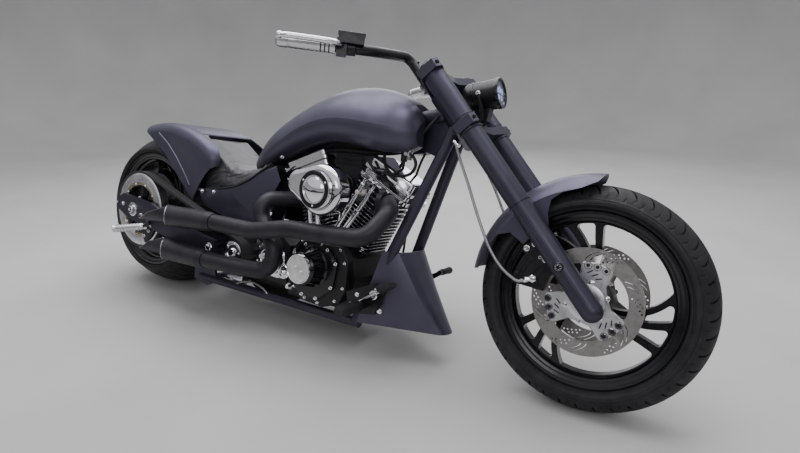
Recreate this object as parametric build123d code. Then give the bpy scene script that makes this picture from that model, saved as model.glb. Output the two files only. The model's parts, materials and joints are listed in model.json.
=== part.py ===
from build123d import *
from functools import cache
import math
import os

os.makedirs("parts", exist_ok=True)

# All sizes are in millimetres and degrees. The motorcycle is drawn upright, with +X forward, +Y to
# the rider's left and +Z up, from a point on the floor midway between the axles. The last section
# turns the steering a little to the left and leans everything on the side stand.

# Stance
wheelbase = 1852.0
rear_axle_x = -926.0
lean = 10.6
steer_at_rest = 3.4
rake = 42.0
joint_gap = 0.3

# Wheels
front_tyre_radius = 319.5
front_tyre_width = 134.0
front_crown_radius = 67.0
front_rim_width = 82.0
rear_tyre_radius = 333.5
rear_tyre_width = 302.0
rear_crown_radius = 190.0
rear_rim_width = 266.0
bead_radius = 226.0
flange_radius = 245.0
flange_width = 8.0
rim_wall = 7.0
hub_radius = 38.0
axle_radius = 12.0
running_gap = 0.05
front_hub_half = 62.0
rear_hub_half = 150.0
crown_bands = 5
wall_bands = 2
spoke_depth = 34.0
spoke_hub_half = 7.0
spoke_middle_radius = 120.0
spoke_middle_half = 4.0
spoke_rim_half = 3.0
window_inset = 7.0
# Spokes of a group: name, and angles at the rim, in the middle and at the hub from the group's middle
spokes = [("lower", -21.0, -26.0, -62.0), ("middle", 0.0, -13.0, -38.0), ("upper", 21.0, 0.0, -14.0)]
spoke_groups = (-8.0, 112.0, 232.0)
front_disc_radius = 148.0
front_disc_inset = 75.0
disc_thickness = 5.0
pulley_radius = 156.0
pulley_inner_radius = 104.0
pulley_inset = 185.0
pulley_wall = 12.0
pulley_plate = 12.0
pulley_step_radius = 115.0
spider_radius = 114.0
spider_thickness = 8.0
belt_width = 38.0
belt_thickness = 8.0
front_pulley_x = -318.0
front_pulley_z = 252.0
front_pulley_radius = 44.0

# Fork, measured up the legs from the front axle
leg_lead = 10.0
leg_inset = 125.0
tree_offset = 52.0
leg_end = -27.0
leg_lower_radius = 30.0
leg_middle_radius = 32.0
leg_upper_radius = 34.5
leg_lower_top = 318.0
leg_overlap = 8.0
tree_thickness = 30.0
lower_tree_height = 574.0
upper_tree_height = 780.0
neck_radius = 31.0
lamp_radius = 45.0
lamp_wall = 4.0
lamp_recess = 16.0
front_fender_radius = 352.0
front_fender_half = 80.0
front_fender_wall = 3.0
stem_radius = 14.0
bar_radius = 16.0
riser_x = -44.0
riser_inset = 50.0
grip_length = 150.0
grip_radius = 19.0

# Frame
tube_radius = 19.0
rail_radius = 16.0
rail_height = 94.0
rail_inset = 118.0
backbone_radius = 24.0
pivot_x = -425.0
pivot_height = 255.0
swingarm_inset = 222.0
swingarm_thickness = 16.0

# Engine
crank_x = 45.0
crank_height = 232.0
front_cylinder_lean = 27.0
rear_cylinder_lean = 21.0
deck_height = 140.0
cylinder_height = 145.0
head_height = 80.0
cylinder_radius = 62.0
fin_reach = 80.0
fin_count = 11
fin_thickness = 3.0
rocker_inner = 88.0
rocker_outer = 128.0
rocker_width = 150.0
# Rocker box layers from the head up: height of the foot, thickness, inset
rocker_layers = [(0.0, 14.0, 0.0), (14.0, 20.0, 8.0), (34.0, 12.0, 1.0), (46.0, 32.0, 12.0)]
head_length = 168.0
head_width = 152.0
head_fin = 12.0
head_fin_count = 5
head_fin_thickness = 4.0
air_cleaner_x = 118.0
air_cleaner_z = 535.0
cam_x = 25.0
cam_z = 256.0
exhaust_radius = 29.5
exhaust_y = -290.0
muffler_front_radius = 36.0
muffler_radius = 47.0
muffler_shoulder = 26.0
muffler_lip = 1.5
muffler_plug = 140.0
muffler_wall = 3.0

# Body
tank_half_width = 152.0
chin_round = 22.0
fender_centre_x = -826.0
fender_centre_z = 154.0
fender_radius = 560.0
fender_front_angle = 30.0
fender_nose_radius = 70.0
fender_shoulder = 45.0
fender_half_width = 166.0
fender_thickness = 3.5
fender_rib_radius = 5.0
seat_half_width = 128.0
seat_reach = 144.0
seat_roll = 18.0
panel_half_width = 156.0
panel_front_half = 128.0
panel_widest = 470.0
panel_bulge_radius = 300.0
panel_thickness = 4.0

front_axle = Vector(rear_axle_x + wheelbase, 0, front_tyre_radius)
rear_axle = Vector(rear_axle_x, 0, rear_tyre_radius)
fork_up = Vector(-math.sin(math.radians(rake)), 0, math.cos(math.radians(rake)))
fork_frame = Plane(origin=front_axle, x_dir=(fork_up.Z, 0, -fork_up.X), z_dir=fork_up)
axis_x = leg_lead - tree_offset
steering_axis = Axis(fork_frame.from_local_coords(Vector(axis_x, 0, 0)), fork_up)
FROM_START = (Align.CENTER, Align.CENTER, Align.MIN)


# Parking: how the leaned tyres meet the floor
def leaned(v):
    """Vector of the upright motorcycle after the lean to the left."""
    turn = math.radians(lean)
    return Vector(v.X, v.Y * math.cos(turn) + v.Z * math.sin(turn),
                  -v.Y * math.sin(turn) + v.Z * math.cos(turn))


def lowest_height(centre, axle, radius, crown):
    """Height of a leaned tyre's lowest point over the upright motorcycle's floor."""
    ring = radius - crown
    return leaned(centre).Z - ring * math.sqrt(1 - leaned(axle).Z ** 2) - crown


steer_turn = math.radians(steer_at_rest)
steered_centre = fork_frame.from_local_coords(Vector(axis_x - axis_x * math.cos(steer_turn),
                                                     -axis_x * math.sin(steer_turn), 0))
steered_tip = fork_frame.from_local_coords(Vector(-math.sin(steer_turn), math.cos(steer_turn), 0))
steered_axle = steered_tip - front_axle
front_low = lowest_height(steered_centre, steered_axle, front_tyre_radius, front_crown_radius)
rear_low = lowest_height(rear_axle, Vector(0, 1, 0), rear_tyre_radius, rear_crown_radius)
nose_down = math.asin((front_low - rear_low) / wheelbase)
lift = -(front_low + rear_low) / 2
floor_up = Vector(-math.sin(nose_down), -math.cos(nose_down) * math.sin(math.radians(lean)),
                  math.cos(nose_down) * math.cos(math.radians(lean)))
on_stand = Pos(0, 0, lift) * Rot(0, math.degrees(nose_down), 0) * Rot(-lean, 0, 0)


def floor_point(x, y):
    """Point of the floor under the leaned motorcycle, in the upright motorcycle's frame."""
    return Vector(x, y, -(lift + x * floor_up.X + y * floor_up.Y) / floor_up.Z)


# Shaping helpers
def rod(start, end, radius):
    """Round bar from one point to another."""
    span = Vector(*end) - Vector(*start)
    return Plane(origin=start, z_dir=span) * Cylinder(radius, span.length, align=FROM_START)


def pipe(points, bends, radius):
    """Round bar bent along straight runs joined by arcs."""
    path = FilletPolyline(*points, radius=bends)
    return sweep(Plane(origin=path @ 0, z_dir=path % 0) * Circle(radius), path=path)


def side_plate(outline, y_low, y_high, corner=0.0):
    """Plate from a side view outline of (x, z) points, between two distances to the left."""
    face = make_face(Polyline(*[(x, y_low, z) for x, z in outline], close=True))
    if corner:
        face = fillet(face.vertices(), corner)
    return extrude(face, amount=y_high - y_low, dir=(0, 1, 0))


def turned(centre, profile):
    """Ring turned about a sideways axis from (radius, y) points."""
    face = make_face(Polyline(*[(centre.X + r, y, centre.Z) for r, y in profile], close=True))
    return revolve(face, axis=Axis(centre, (0, 1, 0)))


def polar(centre, radius, angle, y=0.0):
    """Point at an angle round a sideways axis, from forward towards up."""
    turn = math.radians(angle)
    return (centre.X + radius * math.cos(turn), y, centre.Z + radius * math.sin(turn))


# Wheels
def tyre(centre, radius, width, crown, rim_width):
    """Tyre with a banded crown and sidewalls on arcs, and a bead seated between the rim flanges."""
    half = width / 2
    bead = rim_width / 2
    shoulder = math.asin(min(1.0, half * 0.9 / crown))
    shoulder_r = radius - crown * (1 - math.cos(shoulder))
    shoulder_y = crown * math.sin(shoulder)
    seat_r = flange_radius + 1
    crown_arc = ThreePointArc((shoulder_r, -shoulder_y, 0), (radius, 0, 0), (shoulder_r, shoulder_y, 0))
    wall_r = (shoulder_r + flange_radius) / 2
    wall_arc = ThreePointArc((shoulder_r, shoulder_y, 0), (wall_r, half, 0), (seat_r, bead, 0))
    profile = [crown_arc @ (i / crown_bands) for i in range(crown_bands + 1)]
    wall = [wall_arc @ (i / wall_bands) for i in range(1, wall_bands + 1)]
    points = [(p.X, p.Y) for p in profile + wall]
    points += [(bead_radius + joint_gap, bead), (bead_radius + joint_gap, -bead)]
    points += [(p.X, -p.Y) for p in reversed(wall)]
    return turned(centre, points)


def spoke_edge(centre, group, spoke, side):
    """Swept edge of a spoke, from the hub to the rim."""
    at_rim, at_middle, at_hub = spoke[1:]
    return ThreePointArc(
        polar(centre, hub_radius + window_inset, group + at_hub + side * spoke_hub_half),
        polar(centre, spoke_middle_radius, group + at_middle + side * spoke_middle_half),
        polar(centre, bead_radius - rim_wall - window_inset, group + at_rim + side * spoke_rim_half))


def rim_window(centre, first, second):
    """Opening between one spoke and the next, rounded at the rim and, where there is room, at the hub."""
    low = spoke_edge(centre, *first, 1)
    high = spoke_edge(centre, *second, -1)

    def arc(start, end, radius):
        middle = (start + end) * 0.5 - centre
        return ThreePointArc(start, centre + middle.normalized() * radius, end)

    face = make_face([low, arc(low @ 1, high @ 1, bead_radius - rim_wall - window_inset), high,
                      arc(high @ 0, low @ 0, hub_radius + window_inset)])
    corners = face.vertices().sort_by(lambda corner: (Vector(corner) - centre).length)
    face = fillet(corners[2:], 9.0)
    if first[1][0] != "lower":
        face = fillet(face.vertices().sort_by(lambda corner: (Vector(corner) - centre).length)[:2], 3.0)
    return face


def rim(centre, rim_width, hub_width):
    """Deep stepped rim with three groups of three swept spokes and a bored hub."""
    bead = rim_width / 2
    outer = bead + flange_width
    inner = bead_radius - rim_wall
    half = [(inner - 5, 0), (inner - 5, bead - 26), (inner + 1, bead - 20), (inner + 1, bead - 4),
            (flange_radius - rim_wall, outer - 5), (flange_radius - rim_wall, outer),
            (flange_radius, outer), (flange_radius, bead), (bead_radius, bead)]
    body = turned(centre, half + [(r, -y) for r, y in reversed(half) if y > 0])
    body += turned(centre, [(0, -hub_width / 2), (hub_radius, -hub_width / 2),
                            (hub_radius, hub_width / 2), (0, hub_width / 2)])
    web = turned(centre, [(hub_radius - 2, -spoke_depth / 2), (inner - 3, -spoke_depth / 2),
                          (inner - 3, spoke_depth / 2), (hub_radius - 2, spoke_depth / 2)])
    ring = [(group, spoke) for group in spoke_groups for spoke in spokes]
    for i, first in enumerate(ring):
        opening = rim_window(centre, first, ring[(i + 1) % len(ring)])
        web -= extrude(Pos(0, -spoke_depth, 0) * opening, amount=2 * spoke_depth, dir=(0, 1, 0))
    reach = 2 * hub_width
    bore = rod((centre.X, -reach, centre.Z), (centre.X, reach, centre.Z), axle_radius + running_gap)
    return body + web - bore


@cache
def front_discs():
    """Pair of brake discs on three lobed carriers."""
    solids = []
    for side in (-1, 1):
        inner = side * (front_disc_inset - disc_thickness / 2)
        outer = side * (front_disc_inset + disc_thickness / 2)
        disc = turned(front_axle, [(hub_radius + 2, inner), (front_disc_radius, inner),
                                   (front_disc_radius, outer), (hub_radius + 2, outer)])
        for lobe in (20.0, 140.0, 260.0):
            face = make_face([
                ThreePointArc(polar(front_axle, 106, lobe - 36), polar(front_axle, 108, lobe),
                              polar(front_axle, 106, lobe + 36)),
                Line(polar(front_axle, 106, lobe + 36), polar(front_axle, 66, lobe + 26)),
                ThreePointArc(polar(front_axle, 66, lobe + 26), polar(front_axle, 58, lobe),
                              polar(front_axle, 66, lobe - 26)),
                Line(polar(front_axle, 66, lobe - 26), polar(front_axle, 106, lobe - 36)),
            ])
            face = fillet(face.vertices(), 6)
            disc -= extrude(Pos(0, -200, 0) * face, amount=400, dir=(0, 1, 0))
        hub_face = side * front_hub_half
        proud = outer + side * 2
        carrier = turned(front_axle, [(axle_radius + 14, hub_face), (hub_radius + 6, hub_face),
                                      (hub_radius + 10, proud), (axle_radius + 14, proud)])
        for lobe in (80.0, 200.0, 320.0):
            boss = rod(polar(front_axle, 98, lobe, outer), polar(front_axle, 98, lobe, outer + side * 3), 9)
            carrier += boss
        solids.append(disc + carrier)
    return solids


@cache
def rear_rim():
    """Rear rim with the black spider that carries the pulley ring on its right."""
    body = rim(rear_axle, rear_rim_width, 2 * rear_hub_half)
    face = -pulley_inset - belt_width / 2 + pulley_plate
    bore = axle_radius + running_gap
    tip = face - pulley_plate + 2
    root = 2 - rear_hub_half
    body += turned(rear_axle, [(bore, tip), (30, tip), (hub_radius, face + spider_thickness),
                               (hub_radius, root), (bore, root)])
    back = face + spider_thickness
    body += turned(rear_axle, [(96, face), (spider_radius, face), (spider_radius, back), (96, back)])
    for turn in range(0, 360, 72):
        arm = side_plate([(28, -13), (100, -17), (100, 17), (28, 13)], face, back)
        body += Pos(rear_axle.X, 0, rear_axle.Z) * Rot(0, turn, 0) * arm
    return body


@cache
def rear_pulley():
    """Toothed belt ring with a broad polished face and a stepped inner band."""
    low = -pulley_inset - belt_width / 2
    high = -pulley_inset + belt_width / 2
    back = low + pulley_plate
    shell = pulley_radius - pulley_wall
    return turned(rear_axle, [
        (pulley_inner_radius, low + 3), (pulley_step_radius, low + 3), (pulley_step_radius + 1, low),
        (pulley_radius - 5, low), (pulley_radius, low + 3), (pulley_radius, high), (shell, high),
        (shell, back), (pulley_inner_radius, back)])


# Fork, drawn up the legs from the axle
def on_fork(shape):
    return fork_frame.location * shape


@cache
def fork_leg(side):
    """Stepped leg of lower slider, sleeve and upper cover, with a flat strip down the slider."""
    y = side * leg_inset
    top = upper_tree_height + tree_thickness + leg_overlap
    lower = rod((leg_lead, y, leg_end), (leg_lead, y, leg_lower_top), leg_lower_radius)
    lower += Pos(leg_lead, y, leg_end) * Sphere(leg_lower_radius)
    middle = rod((leg_lead, y, leg_lower_top), (leg_lead, y, lower_tree_height), leg_middle_radius)
    upper = rod((leg_lead, y, lower_tree_height), (leg_lead, y, top), leg_upper_radius)
    body = lower + middle + fillet(upper.edges().sort_by(Axis.Z)[-1], 5)
    strip_length = leg_lower_top - 18
    strip = Pos(leg_lead, y + side * (leg_lower_radius - 1), strip_length / 2) * Box(15, 8, strip_length)
    body += fillet(strip.edges().filter_by(Axis.Z), 3)
    cap = Pos(leg_lead, y + side * (leg_lower_radius + 1), 112) * Rot(90, 0, 0) * Cylinder(13, 10)
    socket = Pos(0, y - side * 20, 0) * Rot(90, 0, 0) * Cylinder(axle_radius, 2 * leg_lower_radius)
    return on_fork(body + cap - socket)


@cache
def front_axle_bar():
    half = leg_inset + 10
    bar = Rot(90, 0, 0) * Cylinder(axle_radius, 2 * half)
    for side in (-1, 1):
        inner = front_disc_inset + disc_thickness / 2 + 1.0
        spacer_length = leg_inset - 26 - inner
        bar += Pos(0, side * (inner + spacer_length / 2), 0) * Rot(90, 0, 0) * Cylinder(19, spacer_length)
    return on_fork(bar) - fork_leg(1) - fork_leg(-1)


@cache
def triple_trees():
    """Steering stem with its lower and upper clamps."""
    body = Pos(axis_x, 0, lower_tree_height) * Cylinder(
        stem_radius, upper_tree_height + tree_thickness + 12 - lower_tree_height, align=FROM_START)
    for height in (lower_tree_height, upper_tree_height):
        outline = [(axis_x - 24, -16), (axis_x - 24, 16), (leg_lead - 30, leg_inset + 40),
                   (leg_lead + 30, leg_inset + 40), (leg_lead + 42, leg_inset + 20), (leg_lead + 12, 40),
                   (leg_lead + 12, -40), (leg_lead + 42, -leg_inset - 20), (leg_lead + 30, -leg_inset - 40),
                   (leg_lead - 30, -leg_inset - 40)]
        face = make_face(Polyline(*[(x, y, height) for x, y in outline], close=True))
        body += extrude(face, amount=tree_thickness, dir=(0, 0, 1))
    return on_fork(body) - fork_leg(1) - fork_leg(-1)


# Handlebar from the clamp to the grip's end: in front of the fork's middle, inset, height over the clamp
bar_points = [(riser_x, riser_inset, 0.0), (riser_x, riser_inset, 118.0), (-81.0, 250.0, 110.0),
              (-233.0, 402.0, 239.0)]
bar_points = [(x, y, upper_tree_height + tree_thickness + z) for x, y, z in bar_points]


@cache
def handlebar():
    """Pair of risers with one swept back bar, joined by a cross piece."""
    body = Pos(riser_x, 0, upper_tree_height + tree_thickness + 70) * Box(26, 2 * riser_inset, 26)
    for side in (-1, 1):
        body += pipe([(x, side * y, z) for x, y, z in bar_points], [32, 70], bar_radius)
    return on_fork(body)


def grip_line(side):
    """Start and end of a grip on the bar, in the fork's own frame."""
    end = Vector(bar_points[-1][0], side * bar_points[-1][1], bar_points[-1][2])
    before = Vector(bar_points[-2][0], side * bar_points[-2][1], bar_points[-2][2])
    along = (end - before).normalized()
    return end - along * grip_length, end, along


@cache
def grips():
    solids = []
    for side in (-1, 1):
        start, end, along = grip_line(side)
        grip = rod(start, end + along * 4, grip_radius)
        grip += Pos(*(end + along * 4)) * Sphere(grip_radius)
        solids.append(on_fork(grip) - handlebar())
    return solids


@cache
def hand_control(side):
    """Perch clamp, fluid reservoir and lever beside a grip."""
    start, _, along = grip_line(side)
    centre = start - along * 22
    across = Plane(origin=centre, x_dir=along, z_dir=(0.66, 0, 0.75))
    perch = across * (Pos(0, 0, 0) * Box(30, 46, 46))
    body = perch + across * (Pos(-26, side * -16, 22) * Box(74, 42, 30))
    lever = [(-2, side * -18), (12, side * -58), (150, side * -62), (172, side * -52),
             (172, side * -44), (150, side * -50), (16, side * -44), (10, side * -18)]
    face = make_face(Polyline(*[(x, y, -4) for x, y in lever], close=True))
    body += across * extrude(face, amount=9, dir=(0, 0, 1))
    return on_fork(body) - handlebar() - Compound(children=grips())


lamp_rear = fork_frame.from_local_coords(Vector(20, 0, lower_tree_height + 135.5))
lamp_front = fork_frame.from_local_coords(Vector(122, 0, lower_tree_height + 75.5))


@cache
def headlamp():
    span = (lamp_front - lamp_rear).normalized()
    shell = rod(lamp_rear, lamp_front, lamp_radius)
    shell = fillet(shell.edges().sort_by(Axis.X)[0], 26)
    return shell - rod(lamp_front - span * lamp_recess, lamp_front, lamp_radius - lamp_wall)


@cache
def headlamp_lens():
    span = (lamp_front - lamp_rear).normalized()
    return rod(lamp_front - span * (lamp_recess - 4), lamp_front - span * 3, lamp_radius - lamp_wall)


@cache
def headlamp_bracket():
    """Forked bracket from the lower clamp up to the lamp."""
    foot = lower_tree_height + tree_thickness
    plate = side_plate([(40, foot), (84, foot + 36), (70, foot + 72), (22, foot + 46), (0, foot)], -16, 16)
    return on_fork(plate) - headlamp() - triple_trees()


def fender_section(centre, radius, half, wall, skirt_radius, drop):
    """Half of a fender's cross section loop: crown arc and straight skirts, as a closed shell."""
    loops = []
    for inset in (0.0, wall):
        r = radius - inset
        h = half - inset
        loops.append((Vector(centre.X + r, 0, centre.Z), Vector(centre.X + r - drop, h, centre.Z),
                      Vector(centre.X + r - drop, -h, centre.Z), Vector(centre.X + skirt_radius, h, centre.Z),
                      Vector(centre.X + skirt_radius, -h, centre.Z)))
    out, inn = loops
    wire = [ThreePointArc(out[2], out[0], out[1]), Line(out[1], out[3]), Line(out[3], inn[3]),
            Line(inn[3], inn[1]), ThreePointArc(inn[1], inn[0], inn[2]), Line(inn[2], inn[4]),
            Line(inn[4], out[4]), Line(out[4], out[2])]
    return make_face(wire)


@cache
def front_fender():
    section = fender_section(front_axle, front_fender_radius, front_fender_half, front_fender_wall, 228, 46)
    shell = revolve(section, axis=Axis(front_axle, (0, -1, 0)), revolution_arc=180)
    # Side view of what is kept, ahead of the axle
    kept = [(-40, 740), (-366, 740), (-366, 340), (-322, 352), (-302, 378), (-294, 426), (-271, 462),
            (-234, 474), (-198, 452), (-166, 430), (-120, 476), (-134, 545), (-130, 582), (-102, 606),
            (-54, 624), (-16, 646), (0, 676)]
    body = shell & side_plate([(front_axle.X + x, z) for x, z in kept], -120, 120)
    for side in (-1, 1):
        inner = front_fender_half - front_fender_wall
        stay = Box(26, leg_inset - inner, 60)
        body += on_fork(Pos(leg_lead - 6, side * (inner + leg_inset) / 2, 250) * stay)
    return body - fork_leg(1) - fork_leg(-1)


@cache
def front_calipers():
    solids = []
    for side in (-1, 1):
        face = make_face(Polyline(
            (112, side * 54, 0), (204, side * 54, 0), (204, side * 100, 0), (112, side * 100, 0),
            (112, side * 81, 0), (158, side * 81, 0), (158, side * 69, 0), (112, side * 69, 0), close=True))
        block = revolve(face, axis=Axis((0, 0, 0), (0, 1, 0)), revolution_arc=40)
        block = Rot(0, -133, 0) * block
        bracket = Pos(-28, side * 104, 176) * Box(60, 12, 70)
        solids.append(on_fork(block + bracket) - fork_leg(side))
    return solids


@cache
def brake_hoses():
    """Pair of hoses from the calipers up to the lower clamp."""
    solids = []
    for side in (-1, 1):
        y = side * 112
        points = [(-118, y, 150), (-136, y, 168), (-124, side * 118, 260), (-78, side * 110, 380),
                  (-52, side * 92, 490), (-44, side * 84, lower_tree_height - joint_gap)]
        solids.append(on_fork(pipe(points, [16, 60, 120, 160], 3.5)) - triple_trees())
    return solids


# Frame
neck_bottom = Vector(axis_x, 0, lower_tree_height + tree_thickness + 2)
neck_top = Vector(axis_x, 0, upper_tree_height - 2)
neck_below = Vector(axis_x, 0, lower_tree_height - 14)
neck_above = Vector(axis_x, 0, upper_tree_height + 60)
down_top = fork_frame.from_local_coords(Vector(axis_x - 8, 30, lower_tree_height + 69.5))
backbone_front = fork_frame.from_local_coords(Vector(axis_x - 4.5, 0, upper_tree_height - 75.5))
down_bottom = Vector(272, 100, 250)
rail_front = Vector(205, rail_inset, rail_height)
rail_rear = Vector(-600, rail_inset, rail_height)


backbone_points = [(backbone_front.X, 0, backbone_front.Z), (40, 0, 742), (-230, 0, 560), (-380, 0, 400)]
backbone_bends = [260, 120]


@cache
def frame_spine():
    """Steering head, backbone and neck gussets."""
    head = on_fork(rod(neck_bottom, neck_top, neck_radius))
    backbone = pipe(backbone_points, backbone_bends, backbone_radius)
    gusset = on_fork(side_plate([(axis_x + x, lower_tree_height + z) for x, z in
                                 ((6, 113), (-114, 189), (-161, 121), (-125, 56), (-19, 40))], -6, 6))
    body = head + backbone + gusset
    return body - on_fork(rod(neck_below, neck_above, stem_radius + running_gap))


@cache
def downtubes():
    solids = None
    for side in (-1, 1):
        tube = pipe([(down_top.X, side * down_top.Y, down_top.Z),
                     (down_bottom.X, side * down_bottom.Y, down_bottom.Z),
                     (rail_front.X, side * rail_inset, rail_height)], [120], tube_radius)
        solids = tube if solids is None else solids + tube
    solids += rod((258, -100, 215), (258, 100, 215), 12)
    return solids - frame_spine() - on_fork(rod(neck_below, neck_above, neck_radius))


@cache
def lower_rails():
    body = None
    for side in (-1, 1):
        rail = rod((rail_front.X + 18, side * rail_inset, rail_height),
                   (rail_rear.X, side * rail_inset, rail_height), rail_radius)
        rail += side_plate([(-640, 78), (-560, 62), (-520, 78), (-508, 110), (-530, 190), (-560, 200),
                            (-600, 150), (-640, 120)], side * rail_inset - 5, side * rail_inset + 5)
        body = rail if body is None else body + rail
    for x in (180.0, -260.0, -560.0):
        body += rod((x, -rail_inset, rail_height), (x, rail_inset, rail_height), 12)
    return body + stand_bracket() - downtubes()


@cache
def rear_frame():
    """Uprights from the lower rails past the swingarm pivot to the backbone."""
    body = None
    for side in (-1, 1):
        y = side * 100
        upright = side_plate([(-470, 110), (-400, 110), (-392, 300), (-330, 470), (-372, 490),
                              (-458, 330)], y - 6, y + 6)
        body = upright if body is None else body + upright
    body += rod((-380, -100, 452), (-380, 100, 452), 14)
    body += rod((-435, -100, 130), (-435, 100, 130), 12)
    reach = swingarm_inset + swingarm_thickness / 2
    body += rod((pivot_x, -reach, pivot_height), (pivot_x, reach, pivot_height), 14)
    return body - frame_spine() - lower_rails()


@cache
def swingarm():
    """Pair of side plates from the pivot to the rear axle, tied by a cross tube."""
    body = None
    for side in (-1, 1):
        low = side * swingarm_inset - swingarm_thickness / 2
        plate = side_plate([(-396, 228), (-396, 284), (-620, 316), (-800, 372), (-1000, 394),
                            (-1042, 372), (-1042, 326), (-960, 292), (-760, 262), (-600, 236),
                            (-430, 222)], low, low + swingarm_thickness)
        body = plate if body is None else body + plate
    body += rod((-520, -swingarm_inset, 258), (-520, swingarm_inset, 258), 20)
    pivot = rod((pivot_x, -300, pivot_height), (pivot_x, 300, pivot_height), 14)
    axle = rod((rear_axle.X, -300, rear_axle.Z), (rear_axle.X, 300, rear_axle.Z), axle_radius)
    return body - pivot - axle


@cache
def rear_axle_bar():
    half = swingarm_inset + swingarm_thickness / 2 + 8
    bar = rod((rear_axle.X, -half, rear_axle.Z), (rear_axle.X, half, rear_axle.Z), axle_radius)
    nut = swingarm_inset + swingarm_thickness / 2
    for side in (-1, 1):
        bar += rod((rear_axle.X, side * nut, rear_axle.Z), (rear_axle.X, side * (nut + 12), rear_axle.Z), 20)
    left_start = rear_hub_half + 1
    bar += rod((rear_axle.X, left_start, rear_axle.Z),
               (rear_axle.X, swingarm_inset - swingarm_thickness / 2, rear_axle.Z), 19)
    bar += rod((rear_axle.X, -pulley_inset - belt_width / 2 - 1, rear_axle.Z),
               (rear_axle.X, -swingarm_inset + swingarm_thickness / 2, rear_axle.Z), 19)
    return bar


@cache
def chin_spoiler():
    """Plough shaped shell ahead of the lower downtubes."""
    # Levels: height, rear x, front x, rear half width, front half width
    levels = [(352.0, 290.0, 352.0, 118.0, 84.0), (225.0, 256.0, 428.0, 132.0, 66.0),
              (104.0, 226.0, 508.0, 140.0, 44.0)]

    def block(inset):
        faces = []
        for z, rear, front, rear_half, front_half in levels:
            back = rear - 9 * inset
            nose = front - 1.6 * inset
            wide = rear_half - inset
            slim = front_half - inset
            faces.append(make_face([
                Line((back, -wide, z), (back, wide, z)),
                Line((back, wide, z), (nose - chin_round, slim, z)),
                ThreePointArc((nose - chin_round, slim, z), (nose, 0, z), (nose - chin_round, -slim, z)),
                Line((nose - chin_round, -slim, z), (back, -wide, z)),
            ]))
        return loft(faces, ruled=True)

    outer = block(0.0)
    inner = block(4.0)
    shell = outer - inner
    return shell - downtubes() - lower_rails()


@cache
def fuel_tank():
    """Stretched tank lofted through sections of one crown arc and an underside line."""
    # Sections: x, underside height, widest height, top height, half width
    sections = [(352.0, 700.0, 744.0, 792.0, 84.0), (318.0, 682.0, 750.0, 832.0, 118.0),
                (220.0, 676.0, 760.0, 878.0, 150.0), (80.0, 694.0, 770.0, 888.0, tank_half_width),
                (-100.0, 664.0, 730.0, 834.0, 140.0), (-270.0, 590.0, 640.0, 740.0, 112.0),
                (-396.0, 556.0, 584.0, 622.0, 46.0)]
    faces = []
    for x, low, middle, top, half in sections:
        faces.append(make_face([
            ThreePointArc((x, -half, middle), (x, 0, top), (x, half, middle)),
            ThreePointArc((x, half, middle), (x, half * 0.94, (low + middle) / 2 - 4), (x, half * 0.72, low)),
            Line((x, half * 0.72, low), (x, -half * 0.72, low)),
            ThreePointArc((x, -half * 0.72, low), (x, -half * 0.94, (low + middle) / 2 - 4),
                          (x, -half, middle)),
        ]))
    body = loft(faces)
    recess = Pos(345, 0, 770) * Box(70, 70, 300)
    tunnel = pipe(backbone_points, backbone_bends, backbone_radius)
    line = [(point[0], point[2]) for point in backbone_points]
    slot = side_plate(line + [(-380, 300), (backbone_front.X, 300)], -backbone_radius, backbone_radius)
    return body - recess - tunnel - slot


# Pressed rib of the fender: side view points, parallel to its rear edge
fender_rib = [(-862, 664), (-800, 626), (-738, 572), (-686, 516), (-646, 466)]


def fender_block(inset, rear_angle, toe_length, skirt):
    """Rounded block under the rear fender's crown and nose arcs, smaller by an inset."""
    def crown(angle, radius):
        turn = math.radians(angle)
        return Vector(fender_centre_x + radius * math.sin(turn), 0, fender_centre_z + radius * math.cos(turn))

    radius = fender_radius - inset
    nose_radius = fender_nose_radius - inset
    joint = crown(fender_front_angle, radius)
    nose_centre = crown(fender_front_angle, fender_radius - fender_nose_radius)
    points = []
    for angle in (fender_front_angle, 65.0, 100.0):
        turn = math.radians(angle)
        points.append(nose_centre + Vector(nose_radius * math.sin(turn), 0, nose_radius * math.cos(turn)))
    arc = ThreePointArc(crown(rear_angle, radius), crown(0.0, radius), joint)
    nose = ThreePointArc(*points)
    toe = Line(nose @ 1, nose @ 1 + (nose % 1) * toe_length)
    face = make_face([arc, nose, toe, Polyline(toe @ 1, *skirt, arc @ 0)])
    half = fender_half_width - inset
    block = extrude(Pos(0, -half, 0) * face, amount=2 * half, dir=(0, 1, 0))

    def beside_toe(edge):
        return (edge.center() - toe @ 0.5).cross(Vector(0, 1, 0)).length < 0.1

    rounded = block.edges().filter_by(GeomType.CIRCLE) + block.edges().filter_by(beside_toe)
    return fillet(rounded, fender_shoulder - inset)


@cache
def rear_fender():
    """Bobbed fender shell with flanks beside the seat and a pressed rib along its rear edge."""
    edge = [(-536, 0, 544), (-590, 0, 470), (-624, 0, 410), (-652, 0, 434), (-698, 0, 475),
            (-756, 0, 526), (-816, 0, 583), (-880, 0, 622), (-954, 0, 668)]
    outer = fender_block(0.0, -13.6, 8.0, edge)
    inner = fender_block(fender_thickness, -20.0, 200.0, [(-1030, 0, 360)])
    seat_opening = side_plate([(-668, 800), (-640, 690), (-622, 660), (-599, 629), (-590, 589), (-625, 500),
                               (-640, 360), (-400, 360), (-400, 800)], -seat_half_width, seat_half_width)
    shell = outer - inner - seat_opening
    for side in (-1, 1):
        y = side * (fender_half_width - 1)
        shell += pipe([(x, y, z) for x, z in fender_rib], 90, fender_rib_radius)
    return shell


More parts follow.
